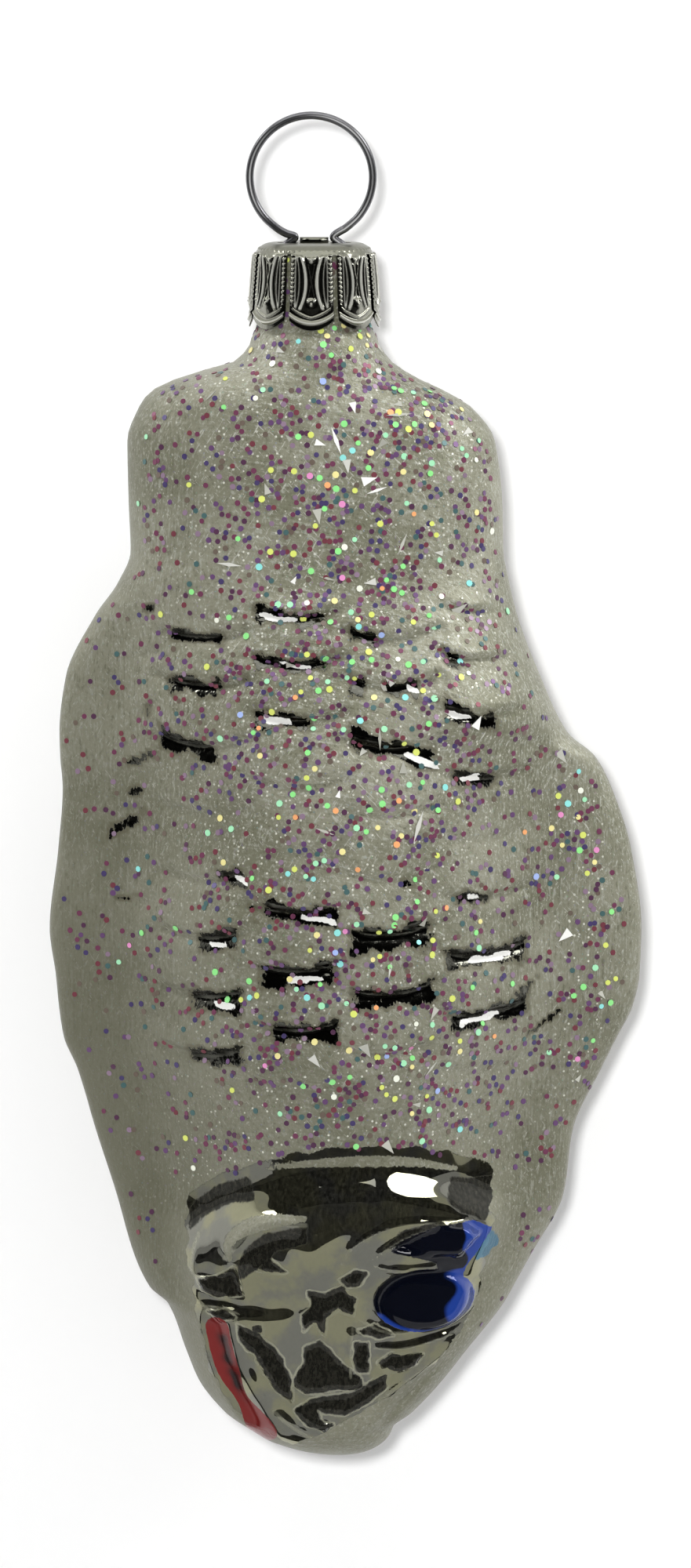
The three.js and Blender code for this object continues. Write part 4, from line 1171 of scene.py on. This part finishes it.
def glass_material(strokes, specks):
    """Silvered glass with frosted lacquer brushed over the body, and painted eyes and mouth."""
    material, tree, shader = new_material("silvered_glass")
    place = tree.object_place()

    def marks(per_mm, across, **values):
        return tree.group(strokes, Vector=place, Marks_per_mm=per_mm, Across=across, **values).outputs[0]

    drag = marks(5.0, (1.0, 1.0, 0.13))
    fibres = marks(7.0, (0.5, 0.5, 0.3))
    ripples = marks(3.5, (1.0, 1.0, 0.16), Contrast=0.9, Turn=1.4)
    hairs = tree.larger(marks(6.5, (1.0, 1.0, 0.1), Turn=0.75), marks(6.5, (1.0, 1.0, 0.1), Turn=-0.55))

    # Where the mirror is bare: on the head, and in the grooves that the brush missed.
    bare = tree.attribute("bare")
    head = tree.ramp(tree.times_plus(fibres, 0.5, tree.attribute("into_mirror")), -0.05, 0.05)
    ragged = tree.times_plus(fibres, 1.0, tree.times_plus(drag, 0.9, bare))
    missed = tree.times(tree.ramp(ragged, 0.5, 0.68), tree.ramp(bare, 0.05, 0.2))
    bare_mask = tree.larger(missed, head)

    # Small white specks in the lacquer: painted glints of fine glitter.
    sparks = tree.group(specks, Vector=place, Specks_per_mm=2.4, Size=0.3, Kept=0.3).outputs["Mask"]
    spark = tree.times(sparks, tree.ramp(tree.attribute("glitter"), 0.2, 0.75, 0.0, 0.85))
    lacquer, streaked = lacquer_colour(tree, place, specks, drag, ripples, fibres, hairs, bare, spark)

    # The mirror: two tones of silvering, painted shade in the upper part of the grooves and painted dark
    # reflections on the head.
    patches = tree.noise(place, 300.0, 4.0)
    mirror = tree.mix_colour(tree.ramp(patches, 0.42, 0.58), TONE["mirror_warm"], TONE["mirror_cool"])
    # Painted shade in the grooves: dark mirror with pale streaks under each scale's edge, giving way to
    # lighter mirror lower down where glint is 1.
    groove_shade = tree.mix_colour(tree.ramp(hairs, 0.1, 0.2), TONE["groove_shade_deep"], TONE["groove_shade_streak"])
    groove_shade = tree.mix_colour(tree.attribute("glint"), groove_shade, TONE["glint"])
    mirror = tree.mix_colour(head, groove_shade, mirror)
    island = tree.times_plus(fibres, 0.25, tree.attribute("from_island"))
    shade = tree.times_plus(fibres, 0.35, tree.attribute("from_shade"))
    dark = tree.larger(tree.ramp(island, 0.04, -0.04), tree.ramp(shade, 0.1, -0.1))
    painted_dark_reflection = tree.mix_colour(tree.ramp(fibres, -0.15, 0.2), TONE["dark_reflection_deep"], TONE["dark_reflection_streak"])
    mirror = tree.mix_colour(dark, mirror, painted_dark_reflection)
    colour = tree.mix_colour(bare_mask, lacquer, mirror)
    # Painted highlights: near-white runs along the lower edge of some grooves.
    bright_run = tree.ramp(tree.times_plus(fibres, 0.5, tree.attribute("bright_run")), 0.45, 0.6)
    colour = tree.mix_colour(bright_run, colour, TONE["bright_run"])

    # Painted highlights: pale lines round the painted dark reflections and along the ridges of the folds.
    rim_highlight = tree.times(tree.ramp(island, 0.04, 0.1), tree.ramp(island, 0.3, 0.18))
    rim_highlight = tree.times(rim_highlight, tree.maths("SUBTRACT", 1.0, dark))
    rim_highlight = tree.larger(rim_highlight, tree.ramp(tree.attribute("from_ridge"), 0.45, 0.15, 0.0, 0.55))
    rim_highlight = tree.times(rim_highlight, tree.ramp(patches, 0.4, 0.55, 0.25, 0.8))
    rim_highlight = tree.times(rim_highlight, tree.times(bare_mask, head))
    colour = tree.mix_colour(rim_highlight, colour, TONE["rim_highlight"])

    # Paint on the eye and the mouth.
    paint_edge = tree.times(fibres, 0.45)
    teal = tree.times_plus(patches, 1.6, tree.plus(paint_edge, -0.8))
    teal_mask = tree.ramp(tree.plus(teal, tree.attribute("teal_paint")), 0.45, 0.7, 0.0, 0.8)
    colour = tree.mix_colour(teal_mask, colour, TONE["teal"])
    blue_mask = tree.ramp(tree.plus(paint_edge, tree.attribute("blue_paint")), 0.42, 0.58)
    blue_wash = tree.ramp(tree.times_plus(patches, 0.5, tree.attribute("thin_blue")), 0.5, 0.95)
    blue = tree.mix_colour(blue_wash, TONE["blue_deep"], TONE["blue_wash"])
    colour = tree.mix_colour(blue_mask, colour, blue)
    red_mask = tree.ramp(tree.plus(paint_edge, tree.attribute("red_paint")), 0.42, 0.58)
    red_wash = tree.ramp(tree.noise(place, 75.0, 4.0, 0.6), 0.4, 0.6)
    red = tree.mix_colour(red_wash, TONE["red_deep"], TONE["red_wash"])
    red = tree.mix_colour(tree.attribute("red_shade"), red, TONE["red_shade"])
    colour = tree.mix_colour(red_mask, colour, red)

    silvering = tree.mix_value(dark, tree.ramp(fibres, -0.25, 0.3, 0.99, 0.93), 0.6)
    metal = tree.mix_value(bare_mask, 0.3, tree.mix_value(head, 1.0, silvering))
    for mask, level in ((rim_highlight, 0.25), (bright_run, 0.2), (blue_mask, 0.15), (red_mask, 0.25)):
        metal = tree.mix_value(mask, metal, level)
    dull = tree.maths("SUBTRACT", tree.ramp(drag, -0.4, 0.4, 0.36, 0.52), tree.times(spark, 0.2))
    rough = tree.mix_value(bare_mask, dull, tree.mix_value(head, 0.12, 0.03))
    rough = tree.mix_value(tree.larger(rim_highlight, bright_run), rough, 0.3)
    off_head = tree.maths("SUBTRACT", 1.0, tree.ramp(head, 0.0, 0.05))
    wrinkled = tree.times(tree.noise(place, 1500.0, 2.0), off_head)
    bump = tree.bumped(tree.mix_value(bare_mask, streaked, wrinkled), 0.00007, 0.8)
    rough = tree.mix_value(red_mask, rough, 0.16)
    tree.feed(shader, Base_Color=colour, Metallic=metal, Roughness=rough, Normal=bump)
    return material


def cap_material(strokes, specks):
    """Bright stamped sheet, rougher on its flat top and shoulder, where the colour is also darker as painted
    shade.
    """
    material, tree, shader = new_material("stamped_tinplate")
    place = tree.object_place()
    drag = tree.group(strokes, Vector=place, Marks_per_mm=5.0, Across=(1.0, 1.0, 0.2)).outputs[0]
    pits = tree.group(specks, Vector=place, Specks_per_mm=1.2, Size=0.15, Kept=0.35).outputs["Mask"]
    facing = tree.add("ShaderNodeTexCoord").outputs["Normal"]
    facing_up = tree.add("ShaderNodeSeparateXYZ", {0: facing}).outputs["Z"]
    # Raised stamping is drawn lighter and less metallic: partly polish on the high spots, partly painted
    # highlight.
    raised = tree.ramp(tree.attribute("raised"), 0.3, 0.9)
    stamped = tree.layers(
        TONE["sheet_dark"],
        (tree.ramp(drag, -0.4, 0.4), TONE["sheet_light"]),
        (tree.times(pits, 0.5), TONE["pit"]),
        (raised, TONE["polish_and_highlight"]),
    )
    # Painted shade: the slits' cut faces and the bridge bar, where the sheet attribute is 0, are drawn dark.
    colour = tree.layers(
        TONE["slit_and_bar_shade"],
        (tree.attribute("sheet"), stamped),
        # Painted shade: upward-facing sheet drawn darker.
        (tree.ramp(facing_up, 0.3, 0.6), TONE["top_shade"]),
    )
    rough = tree.plus(tree.ramp(drag, -0.4, 0.4, 0.08, 0.2), tree.ramp(facing_up, 0.4, 0.7, 0.0, 0.2))
    metal = tree.mix_value(raised, 1.0, 0.5)
    bump = tree.bumped(drag, 0.00001, 0.4)
    tree.feed(shader, Base_Color=colour, Metallic=metal, Roughness=rough, Normal=bump)
    return material


def wire_material(strokes):
    """Drawn steel wire with a painted highlight line along its front."""
    material, tree, shader = new_material("drawn_wire")
    place = tree.object_place()
    drag = tree.group(strokes, Vector=place, Marks_per_mm=6.0, Across=(0.4, 2.0, 0.4)).outputs[0]
    crest = tree.attribute("crest")
    colour = tree.mix_colour(tree.ramp(drag, -0.4, 0.4), TONE["wire_dark"], TONE["wire_light"])
    colour = tree.mix_colour(crest, colour, TONE["wire_highlight"])
    rough = tree.ramp(drag, -0.4, 0.4, 0.22, 0.28)
    tree.feed(shader, Base_Color=colour, Metallic=tree.mix_value(crest, 0.95, 0.3), Roughness=rough)
    return material


def flake_material(name, tints, roughness, metallic):
    """Glitter whose colour each flake picks for itself. tints are (share, screen colour)."""
    material, tree, shader = new_material(name)
    ramp = tree.add("ShaderNodeValToRGB", {0: tree.attribute("tint")})
    ramp.color_ramp.interpolation = "CONSTANT"
    elements = ramp.color_ramp.elements
    while len(elements) < len(tints):
        elements.new(1.0)
    for element, (at, colour) in zip(elements, tints):
        element.position = at
        element.color = screen(*colour)
    tree.feed(shader, Base_Color=ramp.outputs[0], Roughness=roughness, Metallic=metallic)
    return material


DULL_TINTS = [
    (0.0, (0.47, 0.26, 0.36)),
    (0.2, (0.36, 0.23, 0.33)),
    (0.36, (0.43, 0.31, 0.47)),
    (0.51, (0.31, 0.27, 0.44)),
    (0.63, (0.49, 0.26, 0.30)),
    (0.75, (0.58, 0.49, 0.57)),
    (0.85, (0.31, 0.43, 0.43)),
    (0.92, (0.45, 0.40, 0.36)),
]
# Pale flakes: real glitter, coloured pale as painted glints where the light would catch it.
GLINT_TINTS = [
    (0.0, (0.86, 0.90, 0.46)),
    (0.3, (0.58, 0.92, 0.56)),
    (0.5, (0.66, 0.92, 0.74)),
    (0.64, (0.94, 0.90, 0.62)),
    (0.74, (0.58, 0.90, 0.88)),
    (0.82, (0.96, 0.68, 0.46)),
    (0.88, (0.95, 0.96, 0.90)),
    (0.94, (0.66, 0.74, 0.94)),
    (0.97, (0.90, 0.58, 0.78)),
]
SLIVER_TINTS = [
    (0.0, (0.72, 0.72, 0.68)),
    (0.35, (0.64, 0.64, 0.60)),
    (0.65, (0.78, 0.78, 0.75)),
    (0.9, (0.92, 0.92, 0.90)),
]


def flake_mesh(name, radius, thickness, sides, squash):
    """One flat flake in millimetres, resting on its own underside."""
    turns = [math.tau * i / sides for i in range(sides)]
    ring = [(radius * math.cos(a), squash * radius * math.sin(a)) for a in turns]
    return prism(name, [(x, y, 0) for x, y in ring], [(x, y, thickness) for x, y in ring])


# What steers a scatter, in the order of the numbers in GLITTER.
SPREAD = "Flakes per square metre", "Least gap", "Clump size", "Clumping", "Tilt", "Smallest", "Lift", "Seed"


def scatter_tree(name):
    """Scatters flakes over a surface, flat on it but for a small random tilt."""
    group = bpy.data.node_groups.new(name, "GeometryNodeTree")
    kinds = {"Geometry": "Geometry", "Flake": "Object", "Material": "Material", "Where": "String"}
    kinds.update(dict.fromkeys(SPREAD, "Float"), Seed="Int")
    for label, kind in kinds.items():
        group.interface.new_socket(label, in_out="INPUT", socket_type="NodeSocket" + kind)
    group.interface.new_socket("Geometry", in_out="OUTPUT", socket_type="NodeSocketGeometry")
    tree = Tree(group)
    given = tree.add("NodeGroupInput").outputs

    def random(seed, low, high, kind="FLOAT"):
        """A random value for each flake."""
        node = tree.add("FunctionNodeRandomValue", data_type=kind)
        low_socket, high_socket, output = (2, 3, 1) if kind == "FLOAT" else (0, 1, 0)
        for key, value in {low_socket: low, high_socket: high, "Seed": seed}.items():
            tree.put(node.inputs[key], value)
        return node.outputs[output]

    amount = tree.add("GeometryNodeInputNamedAttribute", {"Name": given["Where"]}, data_type="FLOAT")
    noise = tree.add("ShaderNodeTexNoise", {"Scale": given["Clump size"], "Detail": 2.0})
    sparse = tree.maths("SUBTRACT", 1.0, given["Clumping"])
    clumps = tree.ramp(noise.outputs[0], 0.4, 0.62, sparse, 1.0, smooth=False)
    points = tree.feed(
        tree.add("GeometryNodeDistributePointsOnFaces", distribute_method="POISSON"),
        Mesh=given["Geometry"],
        Distance_Min=given["Least gap"],
        Density_Max=given["Flakes per square metre"],
        Density_Factor=tree.times(amount.outputs["Attribute"], clumps),
        Seed=given["Seed"],
    )
    back = tree.times(given["Tilt"], -1.0)
    low_turn = tree.add("ShaderNodeCombineXYZ", {0: back, 1: back, 2: -math.pi})
    high_turn = tree.add("ShaderNodeCombineXYZ", {0: given["Tilt"], 1: given["Tilt"], 2: math.pi})
    turn = random(given["Seed"], low_turn.outputs[0], high_turn.outputs[0], "FLOAT_VECTOR")
    own_turn = tree.add("FunctionNodeEulerToRotation", {0: turn})
    rotation = tree.add("FunctionNodeRotateRotation", rotation_space="LOCAL")
    tree.put(rotation.inputs[0], points.outputs["Rotation"])
    tree.put(rotation.inputs[1], own_turn.outputs[0])
    info = tree.add("GeometryNodeObjectInfo", {"Object": given["Flake"]})
    flakes = tree.feed(
        tree.add("GeometryNodeInstanceOnPoints"),
        Points=points.outputs["Points"],
        Instance=info.outputs["Geometry"],
        Rotation=rotation.outputs[0],
        Scale=random(tree.plus(given["Seed"], 7.0), given["Smallest"], 1.0),
    )
    offset = tree.add("ShaderNodeCombineXYZ", {2: given["Lift"]})
    lifted = tree.add("GeometryNodeTranslateInstances")
    tree.feed(lifted, Instances=flakes.outputs[0], Translation=offset.outputs[0])
    tint = random(tree.plus(given["Seed"], 11.0), 0.0, 1.0)
    store = tree.add("GeometryNodeStoreNamedAttribute", data_type="FLOAT", domain="INSTANCE")
    tree.feed(store, Name="tint", Geometry=lifted.outputs[0], Value=tint)
    real = tree.add("GeometryNodeRealizeInstances", {0: store.outputs[0]})
    dressed = tree.add("GeometryNodeSetMaterial")
    tree.feed(dressed, Geometry=real.outputs[0], Material=given["Material"])
    tree.put(tree.add("NodeGroupOutput").inputs[0], dressed.outputs[0])
    return group


def scatter(glass, name, group, values):
    """Runs the scatter tree on the glass and keeps what it makes as a piece of its own."""
    piece = placed(name, glass.data.copy())
    modifier = piece.modifiers.new(name, "NODES")
    modifier.node_group = group
    sockets = {s.name: s.identifier for s in group.interface.items_tree if s.in_out == "INPUT"}
    for key, value in values.items():
        modifier[sockets[key]] = value
    apply_modifiers(piece)
    bpy.data.objects.remove(values["Flake"])
    return piece


def ride_and_name(piece, body, node=None):
    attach(piece, body)
    if node:
        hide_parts(node)


# The studio.
LOOK_DOWN = math.radians(7.0)
CAMERA_AWAY = 0.7
FRAME_HEIGHT = 0.139
FRAME_CENTRE = Vector((2.75, 0.0, -58.95)) * MM


def make_camera():
    data = bpy.data.cameras.new("camera")
    data.sensor_width = 36.0
    data.lens = data.sensor_width * CAMERA_AWAY / FRAME_HEIGHT
    data.clip_start, data.clip_end = 0.05, 20.0
    camera = placed("camera", data)
    back = Vector((0, -math.cos(LOOK_DOWN), math.sin(LOOK_DOWN)))
    camera.location = FRAME_CENTRE + back * CAMERA_AWAY
    camera.rotation_euler = (-back).to_track_quat("-Z", "Y").to_euler()
    bpy.context.scene.camera = camera


def paper_material(name, white, glow, one_sided):
    """White paper that the camera sees as white apart from the object's shadow."""
    material, tree, shader = new_material(name)
    tree.feed(shader, Base_Color=(white, white, white, 1), Roughness=0.9, Specular_IOR_Level=0.0)
    seen = tree.add("ShaderNodeLightPath").outputs["Is Camera Ray"]
    tree.feed(shader, Emission_Color=(1, 1, 1, 1), Emission_Strength=tree.times(seen, glow))
    if one_sided:
        behind = tree.add("ShaderNodeNewGeometry").outputs["Backfacing"]
        clear = tree.add("ShaderNodeBsdfTransparent")
        mix = tree.add("ShaderNodeMixShader", {0: behind, 1: shader.outputs[0], 2: clear.outputs[0]})
        tree.put(material.node_tree.nodes["Material Output"].inputs["Surface"], mix.outputs[0])
    return material


def card(name, centre, half_x, half_y, facing, material):
    """A flat sheet of the studio, in metres, whose front faces a direction."""
    mesh = bpy.data.meshes.new(name)
    corners = [(-half_x, -half_y, 0), (half_x, -half_y, 0), (half_x, half_y, 0), (-half_x, half_y, 0)]
    mesh.from_pydata(corners, [], [(0, 1, 2, 3)])
    mesh.materials.append(material)
    sheet = placed(name, mesh)
    sheet.location = centre
    sheet.rotation_euler = Vector(facing).to_track_quat("Z", "Y").to_euler()
    return sheet


def area_light(name, place, size, power, target):
    data = bpy.data.lights.new(name, "AREA")
    data.shape, data.size, data.size_y, data.energy = "RECTANGLE", size[0], size[1], power
    light = placed(name, data)
    light.location = place
    light.rotation_euler = (Vector(target) - Vector(place)).to_track_quat("-Z", "Y").to_euler()
    return light


def make_studio():
    scene = bpy.context.scene
    scene.view_settings.view_transform = "Standard"
    world = bpy.data.worlds.new("studio")
    scene.world = world
    world.use_nodes = True
    tree = Tree(world.node_tree)
    path = tree.add("ShaderNodeLightPath").outputs
    mirrored = tree.larger(path["Is Glossy Ray"], path["Is Transmission Ray"])
    level = tree.mix_value(path["Is Camera Ray"], tree.mix_value(mirrored, 0.2, 0.5), 1.0)
    tree.feed(world.node_tree.nodes["Background"], Strength=level, Color=(1, 1, 1, 1))

    backdrop_paper = paper_material("backdrop_paper", 0.93, 0.05, True)
    floor_paper = paper_material("floor_paper", 0.5, 0.6, False)
    backdrop = card("backdrop", (0, 0.017, -0.06), 0.6, 0.6, (0, -1, 0), backdrop_paper)
    floor = card("floor", (0, 0, -0.16), 1.5, 1.5, (0, 0, 1), floor_paper)
    dark, tree, shader = new_material("dark_cloth")
    tree.feed(shader, Base_Color=(0.01, 0.01, 0.009, 1), Roughness=1.0)
    cloths = [
        card("dark_cloth_front", (0, -1.3, 0.6), 1.8, 1.6, (0, 1, 0), dark),
        card("dark_cloth_left", (-1.8, -0.8, 0.6), 0.55, 1.6, (1, 0, 0), dark),
        card("dark_cloth_right", (1.8, -0.8, 0.6), 0.55, 1.6, (-1, 0, 0), dark),
        card("dark_cloth_top", (0, -1.05, 1.5), 1.8, 0.3, (0, 0, -1), dark),
        card("dark_cloth_floor", (0, -0.75, -0.158), 1.8, 0.65, (0, 0, 1), dark),
        card("dark_cloth_under", (0, 0.13, -0.158), 0.5, 0.125, (0, 0, 1), dark),
    ]
    for cloth in cloths:
        cloth.visible_camera = False
        cloth.visible_diffuse = False
        cloth.visible_shadow = False

    middle = (0, 0, -0.06)
    area_light("left_window", (-0.98, -0.04, 0.74), (0.24, 0.34), 2.9, middle)
    area_light("right_window", (0.97, -0.27, 0.64), (0.55, 0.42), 5.4, middle)
    area_light("high_window", (0, -0.18, 0.34), (0.5, 0.3), 0.75, (0, -0.02, -0.06))
    lamp = area_light("camera_side_lamp", (-0.03, -0.73, 0.062), (0.04, 0.04), 3.3, middle)
    lamp.visible_glossy = False


make_camera()
make_studio()
strokes, specks = brush_strokes_group(), specks_group()

glass, cap, wire = make_glass(), make_cap(), make_wire()
finishes = (glass_material(strokes, specks), cap_material(strokes, specks), wire_material(strokes))
for piece, finish in zip((glass, cap, wire), finishes):
    piece.data.materials.clear()
    piece.data.materials.append(finish)

# Glitter: name, where it lies, then its flake's radius, thickness, sides and squash, its tints, roughness and
# metallic, and its spread.
GLITTER = [
    (
        "dull_glitter", "glitter",
        (0.27, 0.04, 8, 1.0),
        (DULL_TINTS, 0.32, 0.25),
        (3.1e6, 0.33 * MM, 330.0, 0.8, 0.14, 0.85, 0.02 * MM, 3),
    ),
    (
        "bright_glitter", "sparkle",
        (0.32, 0.05, 8, 1.0),
        (GLINT_TINTS, 0.3, 0.1),
        (6.0e5, 0.6 * MM, 260.0, 0.8, 0.15, 0.7, 0.07 * MM, 5),
    ),
    (
        "glass_slivers", "sparkle",
        (1.0, 0.05, 3, 0.55),
        (SLIVER_TINTS, 0.15, 0.0),
        (5.0e4, 2.0 * MM, 120.0, 0.3, 0.25, 0.45, 0.12 * MM, 8),
    ),
    (
        "glass_threads", "sparkle",
        (1.5, 0.05, 4, 0.14),
        (SLIVER_TINTS, 0.15, 0.0),
        (2.2e4, 3.0 * MM, 120.0, 0.2, 0.1, 0.4, 0.1 * MM, 14),
    ),
]
scatter_group = scatter_tree("scattered_flakes")
glitter = []
for name, where, sizes, finish, spread in GLITTER:
    values = dict(zip(SPREAD, spread))
    values["Where"] = where
    values["Flake"] = flake_mesh(name + "_flake", *sizes)
    values["Material"] = flake_material(name, *finish)
    glitter.append(scatter(glass, name, scatter_group, values))

ride_and_name(glass, "fish", "glass_fish")
for piece in glitter:
    ride_and_name(piece, "fish")
ride_and_name(cap, "cap", "neck_cap")
ride_and_name(wire, "hanger", "wire_hanger")
